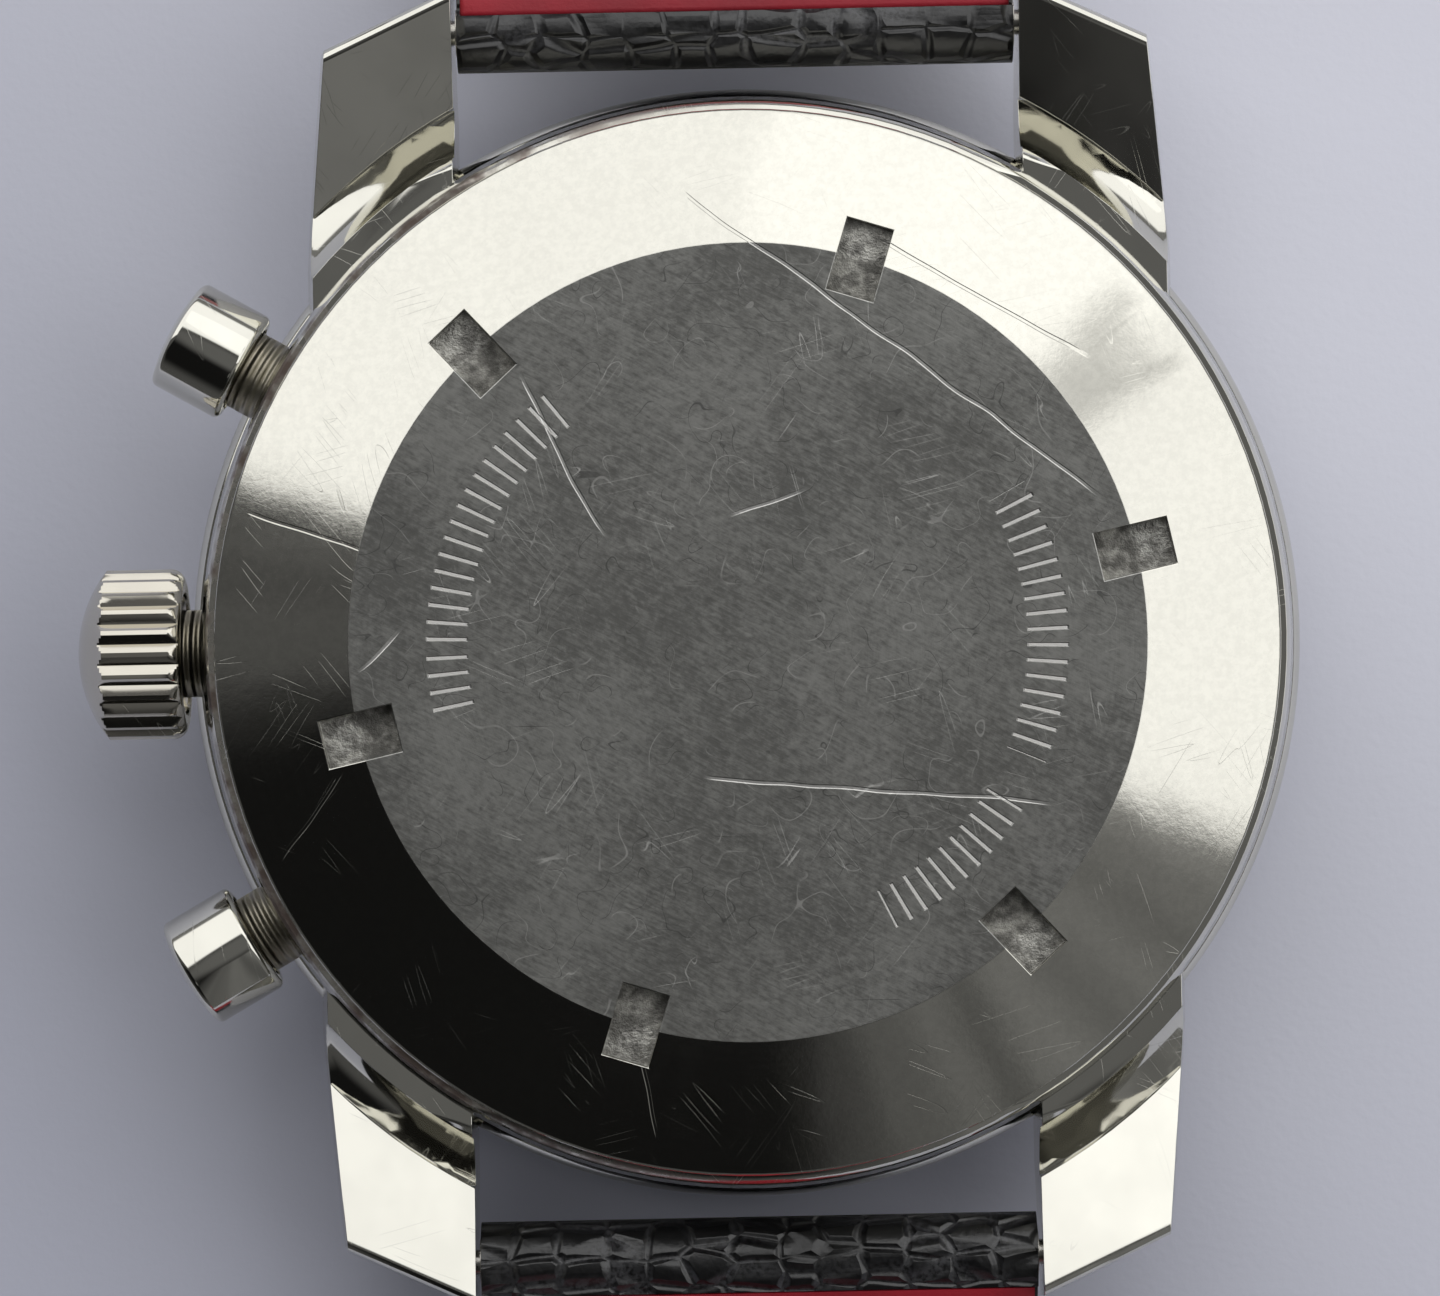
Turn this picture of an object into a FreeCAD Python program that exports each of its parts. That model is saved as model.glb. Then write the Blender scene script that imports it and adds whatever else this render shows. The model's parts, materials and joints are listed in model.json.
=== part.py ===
import FreeCAD, Part
import math
import os
import Sketcher

# Wristwatch with a stopwatch mechanism, lying face down with the strap open. Millimetres.
# +Z comes out of the case back, +Y points to 12 o'clock and the crown is at -X.
# The origin is the apex of the domed crystal, the point on which the watch rests.

VECTOR = FreeCAD.Vector
DOC = FreeCAD.newDocument("Chronograph")
SHEET = DOC.addObject("Spreadsheet::Sheet", "Sizes")


class Size:
    """A number that remembers the sheet expression it comes from."""

    def __init__(self, value, text):
        self.value, self.text = value, text

    def __add__(self, other):
        return Size(self.value + num(other), f"({self.text} + {text(other)})")

    def __radd__(self, other):
        return Size(num(other) + self.value, f"({text(other)} + {self.text})")

    def __sub__(self, other):
        return Size(self.value - num(other), f"({self.text} - {text(other)})")

    def __rsub__(self, other):
        return Size(num(other) - self.value, f"({text(other)} - {self.text})")

    def __mul__(self, other):
        return Size(self.value * num(other), f"({self.text} * {text(other)})")

    def __rmul__(self, other):
        return Size(num(other) * self.value, f"({text(other)} * {self.text})")

    def __truediv__(self, other):
        return Size(self.value / num(other), f"({self.text} / {text(other)})")

    def __neg__(self):
        return Size(-self.value, f"(0 - {self.text})")


def num(size):
    return size.value if isinstance(size, Size) else float(size)


def text(size):
    return size.text if isinstance(size, Size) else repr(float(size))


def cosine(degrees):
    return Size(math.cos(math.radians(num(degrees))), f"cos({text(degrees)} * 1deg)")


def sine(degrees):
    return Size(math.sin(math.radians(num(degrees))), f"sin({text(degrees)} * 1deg)")


class Sizes:
    """The driving dimensions: each becomes a cell of the sheet and a Size of the same name."""

    def __init__(self, **values):
        for row, (name, value) in enumerate(values.items(), start=1):
            SHEET.set(f"A{row}", name.replace("_", " "))
            SHEET.set(f"B{row}", str(value))
            SHEET.setAlias(f"B{row}", name)
            setattr(self, name, Size(float(value), f"Sizes.{name}"))
        DOC.recompute()


S = Sizes(
    # case
    bezel_radius=18.05, bezel_bore=15.22, bezel_base=4.4, bezel_face=1.5,
    band_radius=17.3, case_bore=14.9, thread_bore=15.65, rim_radius=17.02, rim_top=10.6,
    back_radius=16.8, back_edge=11.15, back_top=12.4, back_flat=12.5, back_skin=1.1,
    key_length=2.36, key_width=1.52, key_radius=12.48, key_depth=0.8, key_angle=12.5, key_count=6,
    crystal_radius=15.18, crystal_skin=1.0,
    # lugs
    lug_gap=18.1, lug_side=14.1, lug_corner=13.55, lug_corner_reach=19.45, lug_tip_reach=22.0,
    lug_taper=5.0, lug_wall_radius=18.0, lug_wall_top=9.35, cove_radius=19.5, cove_top=7.85, cove_floor=6.8,
    bar_reach=19.75, bar_height=6.9, bar_radius=0.75, bar_tip_radius=0.4, bar_tip=0.85,
    # crown and pushers
    stem_height=6.9, stem_radius=0.5, crown_radius=2.72, crown_base=18.1, crown_length=3.35, crown_flutes=24,
    crown_tube_radius=1.4,
    pusher_angle=29.7, pusher_height=7.6, pusher_radius=1.83, pusher_base=18.3, pusher_length=2.65,
    pusher_tube_radius=1.3, pusher_stem_radius=0.5, pusher_stem_end=13.75,
    # movement
    dial_face=3.4, dial_back=3.8, dial_radius=15.1, counter_reach=7.2, counter_radius=2.9,
    plate_radius=14.4, bridge_base=7.6, bridge_top=8.6, balance_radius=4.2,
    # strap
    strap_width=17.8, strap_end_width=15.8, strap_thickness=2.4, lining_thickness=0.6, loop_radius=1.3,
    ramp_length=4.0, ramp_angle=20.0, buckle_flat=49.0, tail_flat=28.0, curl_radius=80.0, curl_angle=43.0,
    buckle_level=3.0, tail_level=1.25, turn_in=1.1, hole_radius=0.95, hole_pitch=4.7, hole_start=9.0,
)

NODES = {}


# ---------------------------------------------------------------- making shapes

def bind(thing, **sizes):
    for name, size in sizes.items():
        thing.setExpression(name, text(size))
    return thing


def place(thing, x=0, y=0, z=0, rotation=None):
    if rotation is not None:
        thing.Placement = FreeCAD.Placement(VECTOR(0, 0, 0), rotation)
    for axis, size in zip("xyz", (x, y, z)):
        thing.setExpression(f"Placement.Base.{axis}", text(size))
    return thing


def cylinder(label, radius, height, x=0, y=0, z=0, rotation=None):
    made = DOC.addObject("Part::Cylinder", label)
    return place(bind(made, Radius=radius, Height=height), x, y, z, rotation)


def box(label, length, width, height, x=0, y=0, z=0):
    """A box centred on x and y, standing on z."""
    made = DOC.addObject("Part::Box", label)
    bind(made, Length=length, Width=width, Height=height)
    return place(made, x - num(length) / 2, y - num(width) / 2, z)


def fuse(label, *pieces):
    made = DOC.addObject("Part::MultiFuse", label)
    made.Shapes = list(pieces)
    return made


def common(label, *pieces):
    made = DOC.addObject("Part::MultiCommon", label)
    made.Shapes = list(pieces)
    return made


def cut(label, base, *tools):
    made = DOC.addObject("Part::Cut", label)
    made.Base = base
    made.Tool = tools[0] if len(tools) == 1 else fuse(f"{label}_holes", *tools)
    return made


def outline(body, label, points, bends=None, role="XZ_Plane", height=0):
    """A closed sketch through the points; bends maps an edge's number to its signed radius."""
    bends = bends or {}
    sketch = body.newObject("Sketcher::SketchObject", label)
    base = next(f for f in body.Origin.OriginFeatures if f.Role == role)
    sketch.AttachmentSupport = [(base, "")]
    sketch.MapMode = "FlatFace"
    bind(sketch, **{"AttachmentOffset.Base.z": height})
    at = [VECTOR(num(x), num(y), 0) for x, y in points]
    ends = []
    for i, start in enumerate(at):
        end = at[(i + 1) % len(at)]
        if i in bends:
            radius = num(bends[i])
            half = (end - start).Length / 2
            rise = abs(radius) - math.sqrt(radius ** 2 - half ** 2)
            side = VECTOR(start.y - end.y, end.x - start.x, 0).normalize()
            middle = (start + end) * 0.5 + side * math.copysign(rise, radius)
            sketch.addGeometry(Part.Arc(start, middle, end), False)
            forward = (sketch.getPoint(i, 1) - start).Length < (sketch.getPoint(i, 2) - start).Length
            ends.append((1, 2) if forward else (2, 1))
        else:
            sketch.addGeometry(Part.LineSegment(start, end), False)
            ends.append((1, 2))
    for i in range(len(at)):
        following = (i + 1) % len(at)
        sketch.addConstraint(Sketcher.Constraint("Coincident", i, ends[i][1], following, ends[following][0]))
    for i, (x, y) in enumerate(points):
        for kind, size in (("DistanceX", x), ("DistanceY", y)):
            made = sketch.addConstraint(Sketcher.Constraint(kind, -1, 1, i, ends[i][0], num(size)))
            sketch.setExpression(f"Constraints[{made}]", text(size))
    for i, radius in bends.items():
        made = sketch.addConstraint(Sketcher.Constraint("Radius", i, abs(num(radius))))
        size = radius if num(radius) > 0 else -radius
        sketch.setExpression(f"Constraints[{made}]", text(size))
    return sketch


def turned(label, points, bends=None, x=0, y=0, z=0, rotation=None):
    """A body turned about its own Z axis from an outline of radius and height."""
    body = DOC.addObject("PartDesign::Body", label)
    sketch = outline(body, f"{label}_profile", points, bends)
    made = body.newObject("PartDesign::Revolution", f"{label}_turned")
    made.Profile = sketch
    made.ReferenceAxis = (sketch, ["V_Axis"])
    made.Angle = 360
    return place(body, x, y, z, rotation)


def padded(label, points, length, bends=None, role="XY_Plane", height=0, both=False, taper=None):
    """A body padded from a closed outline."""
    body = DOC.addObject("PartDesign::Body", label)
    sketch = outline(body, f"{label}_outline", points, bends, role, height)
    made = body.newObject("PartDesign::Pad", f"{label}_pad")
    made.Profile = sketch
    bind(made, Length=length)
    made.Midplane = both
    if taper is not None:
        bind(made, TaperAngle=taper)
    return body


def extruded(label, face, z, thickness, x=0, y=0):
    """A flat outline that no sketch suits, such as gear teeth, given its thickness."""
    flat = DOC.addObject("Part::Feature", f"{label}_outline")
    flat.Shape = face
    made = DOC.addObject("Part::Extrusion", label)
    made.Base = flat
    made.DirMode = "Custom"
    made.Dir = VECTOR(0, 0, 1)
    made.Solid = True
    return place(bind(made, LengthFwd=thickness), x, y, z)


def tooth_face(teeth, module, phase, leaf=False, spokes=0, hub=1.0, bore=0.0):
    """Straight-flanked teeth round a pitch circle, with windows between the spokes."""
    pitch = teeth * module / 2
    share = (0.40, 0.30, 0.14) if leaf else (0.52, 0.42, 0.16)
    rings = (pitch - 1.2 * module, pitch, pitch + 0.85 * module)
    step = 2 * math.pi / teeth
    corners = []
    for k in range(teeth):
        centre = phase + k * step
        left = [(r, centre - w * step / 2) for r, w in zip(rings, share)]
        right = [(r, centre + w * step / 2) for r, w in zip(reversed(rings), reversed(share))]
        corners += left + right
    points = [VECTOR(r * math.cos(a), r * math.sin(a), 0) for r, a in corners]
    holes = []
    if bore:
        holes.append(Part.Wire(Part.makeCircle(bore)))
    rim = rings[0] - 0.35
    for k in range(spokes):
        start = phase + 2 * math.pi * k / spokes
        holes.append(window(hub, rim, start, 2 * math.pi / spokes, 0.3))
    return Part.makeFace([Part.makePolygon(points + points[:1])] + holes, "Part::FaceMakerCheese")


def window(inner, outer, start, span, spoke):
    """A ring sector that leaves spokes of one width."""
    def at(radius, angle):
        return VECTOR(radius * math.cos(angle), radius * math.sin(angle), 0)

    edges, half = [], spoke / 2
    a0, a1 = start + half / inner, start + span - half / inner
    b0, b1 = start + half / outer, start + span - half / outer
    edges.append(Part.Arc(at(inner, a0), at(inner, (a0 + a1) / 2), at(inner, a1)).toShape())
    edges.append(Part.LineSegment(at(inner, a1), at(outer, b1)).toShape())
    edges.append(Part.Arc(at(outer, b1), at(outer, (b0 + b1) / 2), at(outer, b0)).toShape())
    edges.append(Part.LineSegment(at(outer, b0), at(inner, a0)).toShape())
    return Part.Wire(edges)


def capsule(start, end):
    """A bar with round ends, between two discs of (x, y, radius)."""
    (x0, y0, r0), (x1, y1, r1) = start, end
    first, last = VECTOR(x0, y0, 0), VECTOR(x1, y1, 0)
    along = (last - first).normalize()
    lean = (r0 - r1) / (last - first).Length
    rise = VECTOR(-along.y, along.x, 0) * math.sqrt(1 - lean ** 2)
    left, right = along * lean + rise, along * lean - rise
    corners = [first + right * r0, last + right * r1, last + left * r1, first + left * r0]
    edges = [Part.LineSegment(corners[0], corners[1]), Part.Arc(corners[1], last + along * r1, corners[2]),
             Part.LineSegment(corners[2], corners[3]), Part.Arc(corners[3], first - along * r0, corners[0])]
    return Part.Face(Part.Wire([edge.toShape() for edge in edges]))


def bar_face(*discs):
    """The outline of a lever: discs of (x, y, radius), each joined to the next by a straight bar."""
    face = capsule(discs[0], discs[1])
    for (x, y, radius), following in zip(discs[1:], discs[2:]):
        face = face.fuse(capsule((x, y, radius * 0.97), following)).removeSplitter()
    return face.Faces[0]


def ring(label, outer, inner, z, height, x=0, y=0):
    return cut(label, cylinder(f"{label}_blank", outer, height, x, y, z),
               cylinder(f"{label}_bore", inner, height + 2, x, y, z - 1))


def towards(degrees):
    """The turn that lays a body's own Z axis outwards from the case, at an angle round it."""
    return FreeCAD.Rotation(VECTOR(0, 0, 1), degrees).multiply(FreeCAD.Rotation(VECTOR(0, 1, 0), 90))


def keep(name, made):
    made.Label = name
    NODES[name] = made
    return made


# ---------------------------------------------------------------- case

def lug_pair(end):
    """Both lugs at one end of the case, as a tapered plan cut to a side profile and a turned cove."""
    plan = padded("lug_plan" + end, [
        (8, 9), (S.lug_side, 9), (S.lug_side, 12.5), (S.lug_corner, S.lug_corner_reach), (8, S.lug_tip_reach)],
        9, height=3.2, taper=-S.lug_taper)
    other = DOC.addObject("Part::Mirroring", "lug_plan_mirror" + end)
    other.Source = plan
    other.Normal = VECTOR(1, 0, 0)
    profile = padded("lug_profile" + end, [
        (9, 3.4), (17.0, 3.5), (22.5, 6.3), (22.5, 9.45), (9, 5.4)],
        40, bends={1: 24.0}, role="YZ_Plane", both=True)
    wall = turned("lug_wall" + end, [
        (14, 4.42), (S.cove_radius, 4.42), (S.cove_radius, S.cove_floor), (S.lug_wall_radius + 0.1, S.cove_top),
        (S.lug_wall_radius, S.lug_wall_top), (14, S.lug_wall_top)], bends={2: 2.05})
    room = turned("lug_cove" + end, [
        (14, 14), (14, S.lug_wall_top), (S.lug_wall_radius, S.lug_wall_top),
        (S.lug_wall_radius + 0.1, S.cove_top), (S.cove_radius, S.cove_floor), (S.cove_radius, 14)], bends={3: -2.05})
    blank = common("lug_blank" + end, fuse("lug_plans" + end, plan, other), fuse("lug_solids" + end, profile, wall))
    return cut("lugs" + end, blank, room)


def case_middle():
    band = turned("case_band", [
        (S.case_bore, S.bezel_base), (S.band_radius, S.bezel_base), (S.band_radius, 9.7),
        (S.rim_radius + 0.1, 10.35), (S.rim_radius, S.rim_top), (16.45, S.rim_top), (16.45, 10.2),
        (S.thread_bore, 10.2), (S.thread_bore, 9.5), (S.case_bore, 9.5)])
    upper = lug_pair("_12")
    lower = DOC.addObject("Part::Mirroring", "lugs_6")
    lower.Source = lug_pair("_pattern")
    lower.Normal = VECTOR(0, 1, 0)
    bored = cut("lugs_bored", fuse("lugs_all", upper, lower),
                cylinder("bore_tool", S.case_bore + 0.4, 20),
                cylinder("bezel_room", S.bezel_radius + 0.06, S.bezel_base, z=0),
                box("gap_tool", S.lug_gap, 60, 20))
    across = FreeCAD.Rotation(VECTOR(0, 1, 0), 90)
    holes = [cylinder(f"bar_hole_{k}", S.bar_tip_radius + 0.03, S.lug_gap + 2.0,
                      x=-(S.lug_gap + 2.0) / 2, y=sign * S.bar_reach, z=S.bar_height, rotation=across)
             for k, sign in enumerate((1, -1))]
    holes.append(cylinder("crown_tube_seat", S.crown_tube_radius, 6, x=-12, z=S.stem_height, rotation=towards(180)))
    for k, sign in enumerate((1, -1)):
        angle = 180 - sign * num(S.pusher_angle)
        holes.append(cylinder(
            f"pusher_tube_seat_{k}", S.pusher_tube_radius, 6, x=-12 * cosine(S.pusher_angle),
            y=12 * sign * sine(S.pusher_angle), z=S.pusher_height, rotation=towards(angle)))
    keep("case_middle", cut("case_middle", fuse("case_blank", band, bored), *holes))


def case_back():
    body = turned("case_back", [
        (0, S.back_top - S.back_skin), (14.3, S.back_top - S.back_skin), (14.3, 9.6), (15.6, 9.6),
        (15.6, S.rim_top), (S.back_radius - 0.05, S.rim_top), (S.back_radius, S.rim_top + 0.06),
        (S.back_radius, S.back_edge - 0.08), (S.back_radius - 0.09, S.back_edge), (S.back_flat, S.back_top),
        (0, S.back_top)])
    turn = math.radians(num(S.key_angle))
    along, across = VECTOR(math.cos(turn), math.sin(turn), 0), VECTOR(-math.sin(turn), math.cos(turn), 0)
    corners = []
    for a, b in ((-1, -1), (1, -1), (1, 1), (-1, 1)):
        radial = S.key_radius + S.key_length * (a / 2)
        sideways = S.key_width * (b / 2)
        corners.append((radial * along.x + sideways * across.x, radial * along.y + sideways * across.y))
    sketch = outline(body, "key_outline", corners, role="XY_Plane", height=S.back_top + 0.5)
    pocket = body.newObject("PartDesign::Pocket", "key_slot")
    pocket.Profile = sketch
    bind(pocket, Length=S.key_depth + 0.5)
    pattern = body.newObject("PartDesign::PolarPattern", "key_slots")
    pattern.Originals = [pocket]
    pattern.Axis = (sketch, ["N_Axis"])
    pattern.Angle = 360
    bind(pattern, Occurrences=S.key_count)
    body.Tip = pattern
    keep("case_back", body)
    keep("back_gasket", ring("back_gasket", 16.4, S.thread_bore + 0.1, 10.2, 0.4))


def front():
    keep("bezel", turned("bezel", [
        (S.bezel_bore, S.bezel_base), (S.bezel_bore, S.bezel_face + 0.2), (S.bezel_bore + 0.35, S.bezel_face),
        (17.1, S.bezel_face + 0.55), (S.bezel_radius - 0.15, 3.3), (S.bezel_radius, 3.6),
        (S.bezel_radius, 4.15), (S.bezel_radius - 0.2, S.bezel_base)], bends={3: -4.0}))
    outside = [(r, r ** 2 / 222) for r in (0, 3, 6, 9, 12, 14.5)]
    inside = [(r, S.crystal_skin + r ** 2 / 177) for r in (14.25, 12, 9, 6, 3, 0)]
    keep("crystal", turned("crystal", outside + [
        (S.crystal_radius, 1.65), (S.crystal_radius, 3.35), (14.25, 3.35)] + inside))


# ---------------------------------------------------------------- crown and pushers

def crown():
    """The crown and its stem, turned about the stem's axis: height runs outwards from the case centre."""
    base, end = S.crown_base, S.crown_base + S.crown_length
    body = turned("crown", [
        (S.stem_radius, base + 2.1), (1.95, base + 2.1), (1.95, base), (S.crown_radius - 0.35, base),
        (S.crown_radius, base + 0.35), (S.crown_radius, end - 0.75), (S.crown_radius - 0.5, end - 0.35),
        (1.3, end - 0.1), (0, end), (0, base + 2.9), (S.stem_radius, base + 2.9)],
        z=S.stem_height, rotation=towards(180))
    flute = outline(body, "flute_outline", [
        (S.crown_radius + 0.3, -0.36), (S.crown_radius + 0.3, 0.36), (S.crown_radius - 0.17, 0.1),
        (S.crown_radius - 0.17, -0.1)], role="XY_Plane", height=base + 0.3)
    groove = body.newObject("PartDesign::Pocket", "flute")
    groove.Profile = flute
    groove.Reversed = True
    bind(groove, Length=S.crown_length - 0.85)
    pattern = body.newObject("PartDesign::PolarPattern", "flutes")
    pattern.Originals = [groove]
    pattern.Axis = (flute, ["N_Axis"])
    pattern.Angle = 360
    bind(pattern, Occurrences=S.crown_flutes)
    body.Tip = pattern
    keep("crown", body)
    keep("crown_gasket", turned("crown_gasket", [
        (S.crown_tube_radius + 0.02, base + 0.3), (1.93, base + 0.3), (1.93, base + 0.9),
        (S.crown_tube_radius + 0.02, base + 0.9)], z=S.stem_height, rotation=towards(180)))
    keep("winding_stem", turned("winding_stem", [
        (0, 8.6), (0.28, 8.6), (0.28, 10.0), (S.stem_radius, 10.1), (S.stem_radius, 13.4), (0.3, 13.5),
        (0.3, 14.0), (S.stem_radius, 14.1), (S.stem_radius, base + 2.9), (0, base + 2.9)],
        z=S.stem_height, rotation=towards(180)))


def pusher(name, sign):
    """A push-piece: a hollow cap on a stem, sliding over its tube; sign is +1 above the crown."""
    angle = 180 - sign * num(S.pusher_angle)
    base, end = S.pusher_base, S.pusher_base + S.pusher_length
    keep(name, turned(name, [
        (0, S.pusher_stem_end), (S.pusher_stem_radius, S.pusher_stem_end), (S.pusher_stem_radius, base + 2.1),
        (1.42, base + 2.1), (1.42, base), (S.pusher_radius - 0.2, base), (S.pusher_radius, base + 0.2),
        (S.pusher_radius, end - 0.3), (S.pusher_radius - 0.3, end - 0.05), (0.9, end), (0, end)],
        z=S.pusher_height, rotation=towards(angle)))
    coil = DOC.addObject("Part::Helix", f"{name}_coil")
    coil.Pitch, coil.Height, coil.Radius = 0.3, 1.2, 0.95
    wire = DOC.addObject("Part::Feature", f"{name}_wire")
    corners = [VECTOR(0.95 + 0.09 * a, 0, 0.09 * b) for a, b in ((-1, -1), (1, -1), (1, 1), (-1, 1), (-1, -1))]
    wire.Shape = Part.makePolygon(corners)
    spring = DOC.addObject("Part::Sweep", f"{name}_spring")
    spring.Sections = [wire]
    spring.Spine = (coil, [])
    spring.Solid, spring.Frenet = True, True
    start = base + 0.8
    reach = VECTOR(math.cos(math.radians(angle)), math.sin(math.radians(angle)), 0)
    return place(spring, start * reach.x, start * reach.y, S.pusher_height, towards(angle))


def pushers():
    springs = DOC.addObject("Part::Compound", "pusher_springs")
    springs.Links = [pusher("pusher_upper", 1), pusher("pusher_lower", -1)]
    keep("pusher_springs", springs)


def tube(label, radius, bore, start, end, height, angle):
    return turned(label, [
        (bore, start), (radius, start), (radius, end - 0.7), (radius - 0.14, end - 0.62), (radius - 0.14, end - 0.5),
        (radius, end - 0.42), (radius, end - 0.1), (radius - 0.1, end), (bore, end)],
        z=height, rotation=towards(angle))


def tubes():
    made = [tube("crown_tube", S.crown_tube_radius, 0.62, 14.95, 19.6, S.stem_height, 180)]
    for k, sign in enumerate((1, -1)):
        made.append(tube(f"pusher_tube_{k}", S.pusher_tube_radius, 0.56, 15.0, 18.95, S.pusher_height,
                         180 - sign * num(S.pusher_angle)))
    group = DOC.addObject("Part::Compound", "case_tubes")
    group.Links = made
    keep("case_tubes", group)


# ---------------------------------------------------------------- movement

def mate(phase, teeth, other_teeth, x, y):
    """The phase of a second wheel whose centre lies at (x, y) from the first, so that the teeth mesh."""
    direction = math.atan2(y, x)
    step, other_step = 2 * math.pi / teeth, 2 * math.pi / other_teeth
    return direction + math.pi - (0.5 - ((direction - phase) / step) % 1) * other_step


def wheel(name, x, y, gears, arbor, bore=0.0):
    """Toothed discs on a stepped arbor; gears are (teeth, module, phase, z, thickness, leaf, spokes)."""
    pieces = []
    for k, (teeth, module, phase, z, thickness, leaf, spokes) in enumerate(gears):
        hub = max(radius for radius, low, high in arbor) + 0.25
        face = tooth_face(teeth, module, phase, leaf, spokes, hub, bore)
        pieces.append(extruded(f"{name}_teeth_{k}", face, z, thickness, x, y))
    for k, (radius, low, high) in enumerate(arbor):
        if bore:
            pieces.append(ring(f"{name}_tube_{k}", radius, bore, low, high - low, x, y))
        else:
            pieces.append(cylinder(f"{name}_arbor_{k}", radius, high - low, x, y, low))
    return keep(name, fuse(name, *pieces) if len(pieces) > 1 else pieces[0])


CENTRE, FOURTH, RECORDER = (0.0, 0.0), (7.2, 0.0), (-7.2, 0.0)
THIRD = (4.151, -2.161)
ESCAPE = (7.2 + 3.6575 * math.cos(math.radians(-70)), 3.6575 * math.sin(math.radians(-70)))
BALANCE = (3.2, -8.8)
PALLET = (6.526, -5.401)
BARREL = (-2.84, 6.09)
CROWN_WHEEL = (-9.94, 1.6)
MINUTE_WHEEL = (0.0, -3.0)
COUPLING = (3.825, 2.328)
INTERMEDIATE = (-4.0, 2.4)
CAM = (4.4, 8.6)
OPERATING = (-8.6, 10.0)
HAMMER = (-4.6, -10.6)
CLICK = (1.17, 11.82)
FINGER = (-11.42, 6.51)
BRIDGE_POSTS = ((-1.0, -5.2), (4.0, 5.0))
SCREWS = ((5.5, 11.2), (-5.5, -0.8), (12.3, -2.0), (-2.5, -4.6))
COCK_SCREW = (-2.3, -10.8)


def hole(name, at, radius=0.13, low=3.0, high=11.0):
    return cylinder(name, radius, high - low, at[0], at[1], low)


def plates():
    rim = turned("plate_blank", [
        (0, 4.5), (13.5, 4.5), (13.5, S.dial_back), (S.plate_radius, S.dial_back),
        (S.plate_radius, 5.6), (0, 5.6)])
    arbors = [CENTRE, FOURTH, RECORDER]
    pivots = [THIRD, ESCAPE, PALLET, BALANCE]
    holes = [hole(f"plate_arbor_{k}", at, 0.40 if at == CENTRE else 0.21) for k, at in enumerate(arbors)]
    holes += [hole(f"plate_pivot_{k}", at, 0.13) for k, at in enumerate(pivots)]
    holes += [hole(f"plate_screw_{k}", at, 0.37, 4.85, 6) for k, at in enumerate(SCREWS + (COCK_SCREW,))]
    holes.append(hole("plate_barrel", BARREL, 0.54))
    posts = [cylinder("minute_wheel_post", 0.2, 0.65, *MINUTE_WHEEL, 3.87),
             cylinder("hammer_post", 0.3, 9.6 - 5.0, *HAMMER, 5.0)]
    keep("main_plate", fuse("main_plate", cut("plate_bored", rim, *holes), *posts))


def pillar(name, at, top, radius=0.8, base=5.6):
    return cylinder(name, radius, num(top) - base, at[0], at[1], base)


def barrel_bridge():
    z, top = S.bridge_base + 0.1, S.bridge_top - 0.2
    blank = cylinder("barrel_bridge_disc", 13.9, top - z, z=z)
    region = fuse("barrel_bridge_region", box("barrel_bridge_half", 40, 20, 20, y=12.2),
                  box("barrel_bridge_ear", 20, 10, 20, x=-14.5, y=3.5))
    solid = fuse("barrel_bridge_solid", common("barrel_bridge_plan", blank, region),
                 pillar("barrel_pillar_0", SCREWS[0], top), pillar("barrel_pillar_1", SCREWS[1], top),
                 pillar("barrel_pillar_2", OPERATING, top))
    tools = [hole("barrel_bridge_barrel", BARREL, 0.54), hole("barrel_bridge_recorder", RECORDER, 0.3),
             hole("barrel_bridge_screw_0", SCREWS[0], 0.37), hole("barrel_bridge_screw_1", SCREWS[1], 0.37),
             box("winding_notch", 3.4, 2.7, 20, x=-12.6), cylinder("finger_notch", 2.1, 20, -11.7, 6.3),
             ring("crown_wheel_room", 2.95, 0.8, 8.05, 2, *CROWN_WHEEL)]
    posts = [cylinder("crown_wheel_post", 0.35, 8.95 - 8.3, *CROWN_WHEEL, 8.3),
             cylinder("click_post", 0.2, 8.95 - 8.3, *CLICK, 8.3), cylinder("cam_post", 0.3, 9.6 - 8.3, *CAM, 8.3),
             cylinder("operating_post", 0.3, 9.6 - 8.3, *OPERATING, 8.3)]
    keep("barrel_bridge", fuse("barrel_bridge", cut("barrel_bridge_cut", solid, *tools), *posts))


def train_bridge():
    z, top = S.bridge_base + 0.1, S.bridge_top - 0.2
    blank = cylinder("train_bridge_disc", 13.9, top - z, z=z)
    region = box("train_bridge_region", 16, 16.6, 20, x=4.4, y=-6.5)
    solid = fuse("train_bridge_solid", common("train_bridge_plan", blank, region),
                 pillar("train_pillar_0", SCREWS[2], top), pillar("train_pillar_1", SCREWS[3], top))
    tools = [cylinder("balance_room", 4.9, 20, *BALANCE), box("cock_room", 9, 9, 20, -1.5, -10.9),
             hole("train_bridge_centre", CENTRE, 0.40),
             hole("train_bridge_fourth", FOURTH, 0.21), hole("train_bridge_third", THIRD),
             hole("train_bridge_escape", ESCAPE), hole("train_bridge_screw_0", SCREWS[2], 0.37),
             hole("train_bridge_screw_1", SCREWS[3], 0.37)]
    keep("train_bridge", cut("train_bridge", solid, *tools))


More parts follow.
